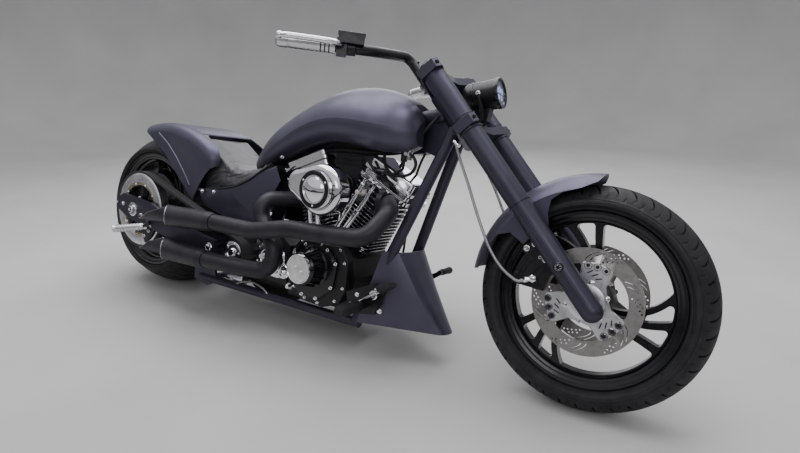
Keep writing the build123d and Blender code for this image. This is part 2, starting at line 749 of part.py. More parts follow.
@cache
def seat_panel():
    """Painted side panels under the seat, bulged both ways, tied by a pan."""
    outline = [(-596, 446), (-570, 394), (-416, 352), (-246, 352), (-246, 400), (-218, 456), (-176, 534),
               (-200, 586), (-262, 560), (-320, 520), (-384, 490), (-452, 474), (-530, 466)]

    def barrel(inset):
        wide = panel_half_width - inset
        away = panel_bulge_radius - inset - wide
        lens = None
        for side in (-1, 1):
            tube = rod((-700, side * away, panel_widest), (-100, side * away, panel_widest),
                       panel_bulge_radius - inset)
            lens = tube if lens is None else lens & tube
        return lens

    def plan(inset):
        half = panel_half_width - inset
        front = panel_front_half - inset
        face = make_face([
            ThreePointArc((-640, -half, 300), (-400, -half, 300), (-150, -front, 300)),
            Line((-150, -front, 300), (-150, front, 300)),
            ThreePointArc((-150, front, 300), (-400, half, 300), (-640, half, 300)),
            Line((-640, half, 300), (-640, -half, 300)),
        ])
        return extrude(face, amount=340, dir=(0, 0, 1))

    walls = (side_plate(outline, -panel_half_width, panel_half_width) & barrel(0.0) & plan(0.0))
    walls -= barrel(panel_thickness) & plan(panel_thickness)
    pan = side_plate([(-600, 452), (-530, 462), (-452, 470), (-384, 486), (-320, 516), (-262, 556),
                      (-262, 562), (-320, 522), (-384, 492), (-452, 476), (-530, 468), (-600, 458)],
                     -panel_half_width, panel_half_width) & barrel(0.0) & plan(0.0)
    body = walls + pan
    tongue_half = fender_half_width - fender_thickness
    for side in (-1, 1):
        low, high = sorted((side * (panel_half_width - 12), side * tongue_half))
        body += side_plate([(-640, 452), (-560, 452), (-560, 462), (-640, 462)], low, high)
    return body - rear_fender() - fuel_tank() - frame_spine() - rear_frame()


@cache
def seat():
    """Bucket seat: nose, dished middle and a sloped back between the flanks of the fender."""
    def at(x, z):
        return (x, -seat_reach, z)

    outline = make_face([
        ThreePointArc(at(-262, 594), at(-300, 572), at(-345, 558)),
        ThreePointArc(at(-345, 558), at(-412, 550), at(-470, 569)),
        ThreePointArc(at(-470, 569), at(-558, 624), at(-632, 674)),
        Polyline(at(-632, 674), at(-650, 652), at(-600, 458), at(-530, 468), at(-452, 476), at(-384, 492),
                 at(-320, 522), at(-262, 562), at(-262, 594)),
    ])
    body = extrude(outline, amount=2 * seat_reach, dir=(0, 1, 0))
    tail = seat_half_width - joint_gap
    flare = seat_reach - tail
    edge = [Line((-700, -tail, 0), (-516, -tail, 0))]
    edge.append(TangentArc((-516, -tail, 0), (-450, -tail - flare / 2, 0), tangent=(1, 0, 0)))
    edge.append(TangentArc((-450, -tail - flare / 2, 0), (-384, -seat_reach, 0), tangent=edge[1] % 1))
    edge.append(TangentArc((-384, -seat_reach, 0), (-250, -seat_reach + 14, 0), tangent=(1, 0, 0)))
    other = [piece.mirror(Plane.XZ) for piece in edge]
    ends = [Line(edge[0] @ 0, other[0] @ 0), Line(edge[3] @ 1, other[3] @ 1)]
    plan = make_face(edge + other + ends)
    body &= extrude(plan, amount=900, dir=(0, 0, 1))
    top = [face for face in body.faces() if face.normal_at().Z > 0.6]
    rolled = [edge for face in top for edge in face.edges() if abs(edge.center().Y) > 60]
    body = fillet(rolled, seat_roll)
    return body - fuel_tank() - frame_spine() - seat_panel()


# Engine
def cylinder_frame(lean_angle):
    """Frame of one cylinder: up the bore from the crank, leaning forward by the angle."""
    turn = math.radians(lean_angle)
    up = Vector(math.sin(turn), 0, math.cos(turn))
    return Plane(origin=(crank_x, 0, crank_height), x_dir=(up.Z, 0, -up.X), z_dir=up)


@cache
def crankcase():
    """Crankcase with gear case, cylinder decks and tappet blocks."""
    body = rod((crank_x, -118, crank_height), (crank_x, 100, crank_height), 118)
    body += side_plate([(-110, 125), (170, 125), (190, 240), (150, 330), (-70, 330), (-118, 240)], -118, 100)
    for angle in (front_cylinder_lean, -rear_cylinder_lean):
        body += cylinder_frame(angle).location * Pos(0, 0, deck_height / 2) * Box(150, 150, deck_height)
        tappets = Pos(crank_x + math.copysign(34, angle), -128, crank_height + 105) * Rot(0, angle / 2, 0)
        body += tappets * Box(64, 40, 40)
    gear_case = side_plate([(-84, 220), (-62, 160), (-20, 128), (80, 122), (150, 150), (176, 200), (176, 300),
                            (150, 345), (-40, 345), (-74, 300)], -150, -118, 16)
    return body + fillet(gear_case.faces().sort_by(Axis.Y)[0].edges(), 5)


def cylinder(angle):
    """Finned barrel and head, parted from the other cylinder halfway between their bores."""
    frame = cylinder_frame(angle)
    body = Pos(0, 0, deck_height) * Cylinder(cylinder_radius, cylinder_height, align=FROM_START)
    pitch = (cylinder_height - 8) / (fin_count - 1)
    for i in range(fin_count):
        fin = Pos(0, 0, deck_height + 4 + i * pitch) * Box(2 * fin_reach, 2 * fin_reach, fin_thickness)
        body += fillet(fin.edges().filter_by(Axis.Z), 24)
    base = deck_height + cylinder_height
    core = Box(head_length - 2 * head_fin, head_width - 2 * head_fin, head_height)
    core = Pos(0, 0, base + head_height / 2) * fillet(core.edges().filter_by(Axis.Z), 14)
    body += core
    head_pitch = (head_height - 6) / (head_fin_count - 1)
    for i in range(head_fin_count):
        fin = Pos(0, 0, base + 3 + i * head_pitch) * Box(head_length, head_width, head_fin_thickness)
        body += fillet(fin.edges().filter_by(Axis.Z), 20)
    middle = (front_cylinder_lean - rear_cylinder_lean) / 2
    turn = math.radians(middle)
    along = Vector(math.cos(turn), 0, -math.sin(turn)) * math.copysign(1, angle)
    parting = Plane(origin=Vector(crank_x, 0, crank_height) + along * 0.5, z_dir=along)
    return split(frame.location * body, bisect_by=parting, keep=Keep.TOP)


def rocker_box(angle, facing):
    """Stepped box of base, waist, lid and crowned top."""
    frame = cylinder_frame(angle)
    base = deck_height + cylinder_height + head_height
    middle = facing * (rocker_outer - rocker_inner) / 2
    length = rocker_inner + rocker_outer
    body = None
    for low, height, inset in rocker_layers:
        layer = Box(length - 2 * inset, rocker_width - 2 * inset, height)
        layer = Pos(middle, 0, base + low + height / 2) * fillet(layer.edges().filter_by(Axis.Z), 14)
        if low == rocker_layers[-1][0]:
            layer = fillet(layer.faces().sort_by(Axis.Z)[-1].edges(), 10)
        body = layer if body is None else body + layer
    return frame.location * body


@cache
def front_cylinder():
    return cylinder(front_cylinder_lean) - crankcase()


@cache
def rear_cylinder():
    return cylinder(-rear_cylinder_lean) - crankcase()


@cache
def front_rocker_box():
    return rocker_box(front_cylinder_lean, 1) - fuel_tank()


@cache
def rear_rocker_box():
    return rocker_box(-rear_cylinder_lean, -1) - fuel_tank() - frame_spine()


@cache
def pushrod_tubes():
    """Two pairs of telescopic covers, each with a collar and a cup at its foot."""
    base = deck_height + cylinder_height + head_height
    body = None
    for angle in (front_cylinder_lean, -rear_cylinder_lean):
        for spread in (-1, 1):
            frame = cylinder_frame(angle)
            top = frame.from_local_coords(Vector(spread * 22 - math.copysign(18, angle), -88, base))
            low = Vector(crank_x + math.copysign(34, angle) + spread * 15, -128, crank_height + 113)
            span = top - low
            tube = rod(low, top, 7.5) + rod(low, low + span * 0.55, 9.5)
            tube += rod(low + span * 0.53, low + span * 0.59, 12) + rod(low, low + span * 0.06, 13)
            body = tube if body is None else body + tube
    return body - crankcase() - front_cylinder() - rear_cylinder() - front_rocker_box() - rear_rocker_box()


@cache
def carburettor():
    body = rod((68, -30, 500), (68, -215, 535), 27)
    body += Pos(68, -150, 523) * Box(64, 70, 76)
    return body - front_cylinder() - rear_cylinder() - pushrod_tubes()


@cache
def air_cleaner():
    """Teardrop cover with a bezel and a polished dome."""
    face = make_face([
        ThreePointArc((96, 0, 456), (207, 0, 534), (100, 0, 613)),
        Line((100, 0, 613), (28, 0, 592)),
        ThreePointArc((28, 0, 592), (-12, 0, 560), (14, 0, 506)),
        Line((14, 0, 506), (96, 0, 456)),
    ])
    cover = extrude(Pos(0, -212, 0) * face, amount=58, dir=(0, -1, 0))
    cover = fillet(cover.faces().sort_by(Axis.Y)[0].edges(), 20)
    x, z = air_cleaner_x, air_cleaner_z
    ring = rod((x, -262, z), (x, -281, z), 60)
    ring = fillet(ring.edges().sort_by(Axis.Y)[0], 6)
    dome = rod((x, -270, z), (x, -300, z), 42) & (Pos(x, -226, z) * Sphere(68))
    return cover + ring + dome - carburettor()


@cache
def cam_cover():
    """Ribbed cone with a flat cap ring on a bolted flange."""
    centre = Vector(cam_x, 0, cam_z)
    body = turned(centre, [(0, -150), (74, -150), (74, -158), (66, -162), (56, -206), (50, -212), (0, -212)])
    body += turned(centre, [(0, -212), (50, -212), (50, -220), (48, -222), (0, -222)])
    rib = make_face(Polyline((40, -205, 0), (59, -205, 0), (72, -156, 0), (40, -156, 0), close=True))
    rib = extrude(Pos(0, 0, -2.5) * rib, amount=5, dir=(0, 0, 1))
    for turn in range(0, 360, 24):
        body += Pos(cam_x, 0, cam_z) * Rot(0, turn, 0) * rib
    flange = side_plate([(-64, 196), (-20, 148), (60, 146), (126, 196), (140, 290), (96, 334), (-10, 338),
                         (-62, 296)], -158, -150, 18)
    return body + flange


@cache
def primary_cover():
    face = make_face([
        Line((45, 100, 330), (-235, 100, 330)),
        ThreePointArc((-235, 100, 330), (-330, 100, 235), (-235, 100, 140)),
        Line((-235, 100, 140), (45, 100, 134)),
        ThreePointArc((45, 100, 134), (143, 100, 232), (45, 100, 330)),
    ])
    body = extrude(face, amount=72, dir=(0, 1, 0))
    body = fillet(body.faces().sort_by(Axis.Y)[-1].edges(), 14)
    return body - crankcase()


@cache
def transmission():
    body = side_plate([(-380, 165), (-120, 150), (-112, 300), (-170, 345), (-350, 335), (-388, 280)],
                      -120, 100, 12)
    body += rod((-200, -118, 245), (-200, -138, 245), 62)
    pulley = Vector(front_pulley_x, 0, front_pulley_z)
    body += rod(pulley - Vector(0, 118, 0), pulley - Vector(0, 206, 0), front_pulley_radius)
    return body - crankcase() - rear_frame() - swingarm() - frame_spine()


@cache
def drive_belt():
    """Toothed belt loop round both pulleys."""
    def loop(grow):
        r1 = pulley_radius + joint_gap + grow
        r2 = front_pulley_radius + joint_gap + grow
        first = Pos(rear_axle.X, 0, rear_axle.Z) * Rot(90, 0, 0) * Cylinder(r1, belt_width)
        second = Pos(front_pulley_x, 0, front_pulley_z) * Rot(90, 0, 0) * Cylinder(r2, belt_width)
        span = Vector(front_pulley_x - rear_axle.X, 0, front_pulley_z - rear_axle.Z)
        reach = span.length
        tilt = math.asin((r1 - r2) / reach)
        points = []
        for centre, r in ((rear_axle, r1), (Vector(front_pulley_x, 0, front_pulley_z), r2)):
            for side in (1, -1):
                along = math.atan2(span.Z, span.X) + side * (math.pi / 2 - tilt)
                points.append((centre.X + r * math.cos(along), centre.Z + r * math.sin(along)))
        order = [points[0], points[2], points[3], points[1]]
        return first + second + side_plate(order, -belt_width / 2, belt_width / 2)

    belt = Pos(0, -pulley_inset, 0) * (loop(belt_thickness) - loop(0.0))
    return belt - transmission()


@cache
def rear_caliper():
    face = make_face(Polyline((96, -214, 0), (150, -214, 0), (150, -205, 0), (96, -205, 0), close=True))
    body = revolve(face, axis=Axis((0, 0, 0), (0, 1, 0)), revolution_arc=44)
    return Pos(rear_axle.X, 0, rear_axle.Z) * Rot(0, 20, 0) * body - swingarm()


@cache
def rear_pegs():
    solids = []
    for side in (-1, 1):
        start = (-818, side * (swingarm_inset + swingarm_thickness / 2), 276)
        peg = rod(start, (-925, side * 312, 254), 13)
        solids.append(peg - swingarm())
    return solids


def muffler(front, rear, near_end, tongue_end):
    """Tapered can, hollow behind, its outer side cut back and its inner side left as a tongue."""
    span = Vector(*rear) - Vector(*front)
    length = span.length
    wall = muffler_wall
    plug = muffler_shoulder + muffler_plug
    profile = make_face(Polyline(
        (0, 0, 0), (exhaust_radius + muffler_lip, 0, 0), (muffler_front_radius, 0, muffler_shoulder),
        (muffler_radius, 0, length), (muffler_radius - wall, 0, length),
        (muffler_front_radius - wall, 0, plug), (0, 0, plug), close=True))
    can = Plane(origin=front, z_dir=span).location * revolve(profile, axis=Axis.Z)
    y = front[1]
    z = rear[2]
    beyond = -1100
    near = make_face(Polyline((near_end, y - 90, 0), (near_end, y - 54, 0), (near_end - 72, y + 22, 0),
                              (beyond, y + 28, 0), (beyond, y - 90, 0), close=True))
    far = side_plate([(tongue_end, z + 80), (tongue_end - 10, z + 46), (tongue_end - 120, z + 15),
                      (tongue_end - 185, z - 5), (tongue_end - 225, z - 40), (tongue_end - 230, z - 80),
                      (beyond, z - 80), (beyond, z + 80)], y - 90, y + 90)
    return can - extrude(near, amount=900, dir=(0, 0, 1)) - far


@cache
def front_exhaust():
    """Front cylinder's pipe, swept back along the engine to the upper muffler."""
    path = [(262, -76, 506), (338, -168, 490), (300, -238, 404), (150, -252, 396), (0, -258, 392),
            (-150, -274, 362), (-345, exhaust_y, 366)]
    body = pipe(path, [60, 62, 110, 250, 250], exhaust_radius)
    can = muffler((-330, exhaust_y, 366), (-860, exhaust_y, 343), -548, -612)
    flange = rod((238, -76, 506), (258, -76, 506), exhaust_radius + 10)
    return body + can + flange - front_cylinder() - front_rocker_box()


@cache
def rear_exhaust():
    """Rear cylinder's pipe, bent down behind the engine to the lower muffler."""
    path = [(-128, -76, 474), (-200, -190, 464), (-190, -196, 400), (-92, -215, 300), (-106, -226, 220),
            (-260, -272, 222), (-375, exhaust_y, 225)]
    body = pipe(path, [46, 60, 60, 54, 200], exhaust_radius)
    can = muffler((-362, exhaust_y, 225), (-860, exhaust_y, 223), -562, -600)
    return body + can - rear_cylinder() - rear_rocker_box() - carburettor()


@cache
def forward_control(side):
    """Bracket, pivot and peg ahead of the crankcase."""
    body = side_plate([(200, 130), (300, 150), (330, 230), (290, 250), (180, 200)], side * 132, side * 150)
    body += rod((262, side * 132, 176), (262, side * 285, 176), 13)
    body += rod((262, side * 190, 176), (262, side * 290, 176), 18)
    body += side_plate([(250, 200), (300, 205), (372, 255), (364, 268), (290, 225)], side * 150, side * 160)
    body += rod((366, side * 150, 262), (366, side * 232, 262), 9)
    return body - downtubes() - chin_spoiler() - lower_rails()


@cache
def fuel_tap():
    body = rod((300, -60, 700), (300, -60, 648), 11)
    body += pipe([(300, -60, 650), (300, -60, 622), (262, -70, 600), (200, -80, 610), (176, -84, 640)],
                 [14, 18, 16], 5)
    return body - fuel_tank() - front_rocker_box()


# Side stand, its foot flat on the floor that the lean gives
stand_pivot = Vector(-20, 150, rail_height)
stand_foot = floor_point(44, 330)
stand_pad = 8.0
stand_pin_radius = 7.0
stand_lug = 18.0
stand_drop = 26.0
stand_reach = stand_foot + floor_up * 14 - stand_pivot
stand_folded = Vector(-1, 0.12, 0.03).normalized()
stand_axis = stand_reach.cross(stand_folded).normalized()
stand_frame = Plane(origin=stand_pivot, x_dir=Vector(1, 0, 0) - stand_axis * stand_axis.X, z_dir=stand_axis)


def stand_bracket():
    """Lug on the left lower rail, with the bore of the stand's pin."""
    reach = stand_pivot.Y - rail_inset
    lug = Cylinder(18, stand_lug) + Pos(0, -reach / 2, 0) * Box(30, reach, stand_lug)
    return stand_frame.location * (lug - Cylinder(stand_pin_radius + running_gap, 2 * stand_lug))


@cache
def side_stand():
    """Leg, foot pad and headed pin."""
    half = stand_lug / 2 + joint_gap
    head = Pos(0, 0, -stand_drop - 12) * Cylinder(16, stand_drop + 12 - half, align=FROM_START)
    head += Pos(0, 0, -half - 1) * Cylinder(stand_pin_radius, 2 * half + 4, align=FROM_START)
    head += Pos(0, 0, half) * Cylinder(11, 5, align=FROM_START)
    leg = rod(stand_pivot - stand_axis * stand_drop, stand_foot + floor_up * 14, 10)
    ankle = rod(stand_foot + floor_up * 3, stand_foot + floor_up * 18, 12)
    pad = Plane(origin=stand_foot, z_dir=floor_up) * Cylinder(24, stand_pad, align=FROM_START)
    return stand_frame.location * head + leg + ankle + pad


# Assembly and parking
bodies = {
    "frame": {
        "frame_spine": frame_spine, "downtubes": downtubes, "lower_rails": lower_rails,
        "rear_frame": rear_frame, "swingarm": swingarm, "rear_axle": rear_axle_bar,
        "chin_spoiler": chin_spoiler, "fuel_tank": fuel_tank, "rear_fender": rear_fender,
        "seat_panel": seat_panel, "seat": seat, "crankcase": crankcase,
        "front_cylinder": front_cylinder, "rear_cylinder": rear_cylinder,
        "front_rocker_box": front_rocker_box, "rear_rocker_box": rear_rocker_box,
        "pushrod_tubes": pushrod_tubes, "carburettor": carburettor, "air_cleaner": air_cleaner,
        "cam_cover": cam_cover, "primary_cover": primary_cover, "transmission": transmission,
        "drive_belt": drive_belt, "rear_caliper": rear_caliper, "rear_pegs": rear_pegs,
        "front_exhaust": front_exhaust, "rear_exhaust": rear_exhaust,
        "right_forward_control": lambda: forward_control(-1),
        "left_forward_control": lambda: forward_control(1), "fuel_tap": fuel_tap,
    },
    "fork": {
        "right_fork_leg": lambda: fork_leg(-1), "left_fork_leg": lambda: fork_leg(1),
        "front_axle": front_axle_bar, "triple_trees": triple_trees, "handlebar": handlebar,
        "grips": grips, "brake_lever_set": lambda: hand_control(-1),
        "clutch_lever_set": lambda: hand_control(1), "headlamp": headlamp,
        "headlamp_lens": headlamp_lens, "headlamp_bracket": headlamp_bracket,
        "front_fender": front_fender, "front_calipers": front_calipers, "brake_hoses": brake_hoses,
    },
    "front_wheel": {
        "front_tyre": lambda: tyre(front_axle, front_tyre_radius, front_tyre_width, front_crown_radius,
                                   front_rim_width),
        "front_rim": lambda: rim(front_axle, front_rim_width, 2 * front_hub_half),
        "front_discs": front_discs,
    },
    "rear_wheel": {
        "rear_tyre": lambda: tyre(rear_axle, rear_tyre_radius, rear_tyre_width, rear_crown_radius,
                                  rear_rim_width),
        "rear_rim": rear_rim,
        "rear_pulley": rear_pulley,
    },
    "stand": {"side_stand": side_stand},
}

made = {}
for body, nodes in bodies.items():
    for name, build in nodes.items():
        shape = build()
        solids = shape if isinstance(shape, list) else shape.solids()
        if body in ("fork", "front_wheel"):
            solids = [solid.rotate(steering_axis, steer_at_rest) for solid in solids]
        made[name] = [on_stand * solid for solid in solids]

boxes = [solid.bounding_box() for solids in made.values() for solid in solids]
middle_x = (min(box.min.X for box in boxes) + max(box.max.X for box in boxes)) / 2
middle_y = (min(box.min.Y for box in boxes) + max(box.max.Y for box in boxes)) / 2
to_centre = Pos(-middle_x, -middle_y, 0)
for name, solids in made.items():
    placed = [to_centre * solid for solid in solids]
    shape = placed[0] if len(placed) == 1 else Compound(children=placed)
    export_step(shape, os.path.join("parts", name + ".step"))
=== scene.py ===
import json
import math

import bmesh
import bpy
from mathutils import Matrix, Vector


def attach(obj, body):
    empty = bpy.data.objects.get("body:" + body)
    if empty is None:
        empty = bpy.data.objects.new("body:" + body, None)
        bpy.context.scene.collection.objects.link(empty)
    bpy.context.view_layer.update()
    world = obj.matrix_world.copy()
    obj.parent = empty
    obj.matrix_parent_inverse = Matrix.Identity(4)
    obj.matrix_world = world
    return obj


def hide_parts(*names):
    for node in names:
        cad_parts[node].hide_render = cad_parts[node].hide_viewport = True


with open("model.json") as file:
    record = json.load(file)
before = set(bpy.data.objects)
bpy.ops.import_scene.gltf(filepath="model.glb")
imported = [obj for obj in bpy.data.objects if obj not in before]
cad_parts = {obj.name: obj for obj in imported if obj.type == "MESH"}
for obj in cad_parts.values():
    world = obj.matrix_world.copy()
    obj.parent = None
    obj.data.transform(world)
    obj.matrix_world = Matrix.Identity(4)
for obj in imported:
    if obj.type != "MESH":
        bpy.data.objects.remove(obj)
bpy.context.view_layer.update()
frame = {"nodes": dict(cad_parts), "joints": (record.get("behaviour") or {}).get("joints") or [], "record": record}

# The scene is in metres. Pieces are drawn in millimetres, and angles are in degrees.
nodes = frame["nodes"]
joints = {joint["name"]: joint for joint in frame["joints"]}
scene = bpy.context.scene


def sin(degrees):
    return math.sin(math.radians(degrees))


def cos(degrees):
    return math.cos(math.radians(degrees))


def circle(count):
    """Cosine and sine of evenly spaced turns."""
    turns = [2 * math.pi * k / count for k in range(count)]
    return [(math.cos(turn), math.sin(turn)) for turn in turns]


def put(name, data):
    """Object of this data, linked to the scene."""
    obj = bpy.data.objects.new(name, data)
    scene.collection.objects.link(obj)
    return obj


def mesh_data(name, mesh):
    """Mesh data of a bmesh, which is freed."""
    data = bpy.data.meshes.new(name)
    mesh.to_mesh(data)
    mesh.free()
    return data


# Frames of the machine, read from its joints
def frame_matrix(x, y, z, origin):
    """Matrix whose columns are three axes and an origin."""
    return Matrix(((x.x, y.x, z.x, origin.x), (x.y, y.y, z.y, origin.y), (x.z, y.z, z.z, origin.z), (0, 0, 0, 1)))


def joint_line(name):
    """Axis and place of a joint."""
    return Vector(joints[name]["axis"]).normalized(), Vector(joints[name]["pos_m"])


rake = 42.0
rear_axle_at = Vector((-0.926, 0.0, 0.3335))
steer_axis = joint_line("steering")[0]


def upright(name):
    """Frame about a wheel's joint: x forward, y to the left, z up on the upright machine."""
    left, place = joint_line(name)
    across = left.cross(steer_axis)
    return frame_matrix((across * cos(rake) - steer_axis * sin(rake)).normalized(), left,
                        (across * sin(rake) + steer_axis * cos(rake)).normalized(), place)


rear_wheel, front_wheel = upright("rear_wheel_spin"), upright("front_wheel_spin")
bike = rear_wheel @ Matrix.Translation(-rear_axle_at)
bike_front, bike_left, bike_up = (bike.col[k].to_3d() for k in range(3))
wheel_left, front_axle_at = joint_line("front_wheel_spin")
fork = frame_matrix(wheel_left.cross(steer_axis), wheel_left, steer_axis, front_axle_at)
body_frame = {"frame": bike, "fork": fork, "front_wheel": front_wheel, "rear_wheel": rear_wheel}

# Camera at the photograph's angle
camera_place = Vector((1.2371, -1.5581, 0.9254))
yaw, pitch = 122.9, -16.0
roll = -0.0036  # radians
look = Vector((cos(pitch) * cos(yaw), cos(pitch) * sin(yaw), sin(pitch)))
right = look.cross(Vector((0, 0, 1))).normalized()
above = right.cross(look)
camera = put("camera", bpy.data.cameras.new("camera"))
camera.data.lens = 24.0
camera.data.sensor_width = 36.0
camera.matrix_world = frame_matrix(right * math.cos(roll) + above * math.sin(roll),
                                   above * math.cos(roll) - right * math.sin(roll), -look, camera_place)
scene.camera = camera


# Finishes. A texture is a function that builds its nodes for the finish it is given.
def noise(scale, detail=4.0, roughness=0.55, stretch=None):
    def build(finish):
        where = finish.place
        if stretch:
            where = finish.node("ShaderNodeMapping", "Vector", Vector=where, Scale=stretch)
        return finish.node("ShaderNodeTexNoise", "Fac", Vector=where, Scale=scale, Detail=detail, Roughness=roughness)
    return build


def cells(scale):
    return lambda finish: finish.node("ShaderNodeTexVoronoi", "Distance", Vector=finish.place, Scale=scale)


slot_finish = {}


class Finish:
    """A procedural material built round one shader.

    Tint and gloss are (texture, low stop, its value, high stop, its value), and a bump is
    (texture, strength, distance). The first finish of a slot is the one its nodes get.
    """

    def __init__(self, name, slot, colour, roughness, tint=None, gloss=None, bumps=(), **sockets):
        self.material = bpy.data.materials.new(name)
        self.material.use_nodes = True
        self.tree = self.material.node_tree
        self.slot = slot
        self.place = self.node("ShaderNodeTexCoord", "Object")
        self.set(Base_Color=(*colour, 1.0), Roughness=roughness, **sockets)
        if tint:
            self.set(Base_Color=self.ramp(*tint))
        if gloss:
            self.set(Roughness=self.ramp(*gloss))
        below = {}
        for texture, strength, distance in bumps:
            below["Normal"] = self.node("ShaderNodeBump", "Normal", Height=texture, Strength=strength,
                                        Distance=distance, **below)
        self.set(**below)
        slot_finish.setdefault(slot, self)

    def feed(self, socket, value):
        if callable(value):
            value = value(self)
        if isinstance(value, bpy.types.NodeSocket):
            self.tree.links.new(value, socket)
        else:
            socket.default_value = value

    def node(self, kind, output, **inputs):
        made = self.tree.nodes.new(kind)
        for name, value in inputs.items():
            self.feed(made.inputs[name], value)
        return made.outputs[output]

    def set(self, **sockets):
        for name, value in sockets.items():
            self.feed(self.tree.nodes["Principled BSDF"].inputs[name.replace("_", " ")], value)

    def calc(self, operation, *values, kind="ShaderNodeMath", output="Value"):
        made = self.tree.nodes.new(kind)
        made.operation = operation
        for socket, value in zip(made.inputs, values):
            self.feed(socket, value)
        return made.outputs[output]

    def ramp(self, value, low, dark, high, light):
        """Colour ramp between two stops of colour or grey."""
        made = self.tree.nodes.new("ShaderNodeValToRGB")
        self.feed(made.inputs["Fac"], value)
        for element, position, colour in zip(made.color_ramp.elements, (low, high), (dark, light)):
            element.position = position
            element.color = (colour, colour, colour, 1.0) if isinstance(colour, float) else (*colour, 1.0)
        return made.outputs["Color"]


def slate_paint(name, slot, dark, light):
    """Satin slate paint with metal flake, faint clouding and a little dust."""
    def shade(finish):
        return finish.calc("ADD", finish.calc("MULTIPLY", cells(2600.0), 0.35),
                           finish.calc("MULTIPLY", noise(9.0, 6.0), 0.65))
    return Finish(name, slot, light, 0.42, (shade, 0.25, dark, 0.75, light), (noise(23.0, 5.0), 0.3, 0.37, 0.75, 0.48),
                  [(noise(900.0, 2.0), 0.06, 0.0003), (noise(14.0, 2.0), 0.05, 0.002)], Metallic=0.78)


def satin_metal(name, slot, dark, light, roughness):
    """Brushed or satin metal with its grain along one way."""
    streaks = noise(160.0, stretch=(1.0, 1.0, 14.0))
    return Finish(name, slot, light, roughness, (streaks, 0.3, dark, 0.7, light),
                  (streaks, 0.3, roughness - 0.07, 0.7, roughness + 0.1), [(streaks, 0.06, 0.0002)], Metallic=1.0)


def tinted_metal(name, slot, colour, roughness, metallic=1.0, spots=40.0):
    """Metal of one tint with faint stains."""
    light = tuple(min(1.0, channel * 1.22) for channel in colour)
    dark = tuple(channel * 0.78 for channel in colour)
    return Finish(name, slot, colour, roughness, (noise(spots, 6.0), 0.3, dark, 0.75, light),
                  (noise(spots * 3), 0.3, roughness * 0.75, 0.75, roughness * 1.4),
                  [(noise(spots * 14, 2.0), 0.05, 0.0003)], Metallic=metallic)


def finned_barrel(name, lean):
    """Black casting whose fin rims are machined bright."""
    made = Finish(name, "engine_black", (0.012, 0.012, 0.013), 0.42, bumps=[(noise(420.0, 3.0, 0.6), 0.2, 0.0005)])
    up = (bike_front * sin(lean) + bike_up * cos(lean)).normalized()
    crank = bike @ Vector((0.045, 0.0, 0.232))
    barrel_radius = 0.0705

    def vector(operation, *values, output="Vector"):
        return made.calc(operation, *values, kind="ShaderNodeVectorMath", output=output)

    facing = vector("DOT_PRODUCT", made.node("ShaderNodeTexCoord", "Normal"), up, output="Value")
    away = vector("LENGTH", vector("CROSS_PRODUCT", vector("SUBTRACT", made.place, crank), up), output="Value")
    rim = made.calc("MULTIPLY", made.calc("LESS_THAN", made.calc("ABSOLUTE", facing), 0.35),
                    made.calc("GREATER_THAN", away, barrel_radius))
    mix = made.tree.nodes.new("ShaderNodeMix")
    mix.data_type = "RGBA"
    made.feed(mix.inputs["Factor"], rim)
    made.feed(mix.inputs[6], made.ramp(noise(13.0, 6.0), 0.3, (0.007, 0.007, 0.008), 0.8, (0.026, 0.025, 0.025)))
    made.feed(mix.inputs[7], made.ramp(noise(50.0, 6.0), 0.3, (0.50, 0.50, 0.51), 0.75, (0.78, 0.78, 0.80)))
    made.set(Base_Color=mix.outputs[2], Metallic=made.ramp(rim, 0.0, 0.15, 1.0, 1.0),
             Roughness=made.ramp(rim, 0.0, 0.46, 1.0, 0.22))
    return made


# Finishes that only nodes wear need no name: their slot finds them
slate_paint("slate_paint", "painted", (0.070, 0.065, 0.098), (0.112, 0.105, 0.150))
frame_paint = slate_paint("frame_paint", "frame_paint", (0.042, 0.039, 0.060), (0.070, 0.066, 0.094))
Finish(
    "heat_black", "exhaust_black", (0.027, 0.025, 0.031), 0.46,
    (noise(17.0, 7.0, 0.6), 0.3, (0.018, 0.0165, 0.021), 0.75, (0.036, 0.033, 0.041)),
    (noise(60.0, 5.0), 0.3, 0.40, 0.7, 0.54), [(noise(700.0, 3.0), 0.12, 0.0004)], Metallic=0.45)
black = Finish(
    "satin_black", "black_metal", (0.007, 0.007, 0.009), 0.32,
    (noise(25.0), 0.3, (0.005, 0.005, 0.006), 0.8, (0.012, 0.012, 0.014)), (noise(70.0, 6.0), 0.3, 0.24, 0.75, 0.44),
    [(noise(1100.0, 2.0), 0.05, 0.0003)], Specular_IOR_Level=0.4)
crinkle = noise(420.0, 3.0, 0.6)
engine_black = Finish(
    "crinkle_black", "engine_black", (0.008, 0.008, 0.009), 0.42,
    (noise(13.0, 6.0), 0.3, (0.004, 0.004, 0.005), 0.8, (0.014, 0.013, 0.014)), (crinkle, 0.3, 0.34, 0.75, 0.56),
    [(crinkle, 0.35, 0.0006), (noise(35.0), 0.1, 0.002)], Specular_IOR_Level=0.4)
bright = Finish(
    "chrome", "chrome", (0.80, 0.80, 0.82), 0.07, (noise(30.0), 0.3, (0.74, 0.74, 0.76), 0.7, (0.86, 0.86, 0.88)),
    (noise(12.0, 8.0, 0.65, (1.0, 1.0, 4.0)), 0.35, 0.045, 0.8, 0.17), [(noise(24.0, 2.0), 0.025, 0.002)],
    Metallic=1.0)
brushed = satin_metal("brushed_steel", "brushed", (0.40, 0.40, 0.41), (0.62, 0.62, 0.64), 0.30)
silver = satin_metal("satin_silver", "silver", (0.55, 0.55, 0.56), (0.74, 0.74, 0.75), 0.26)
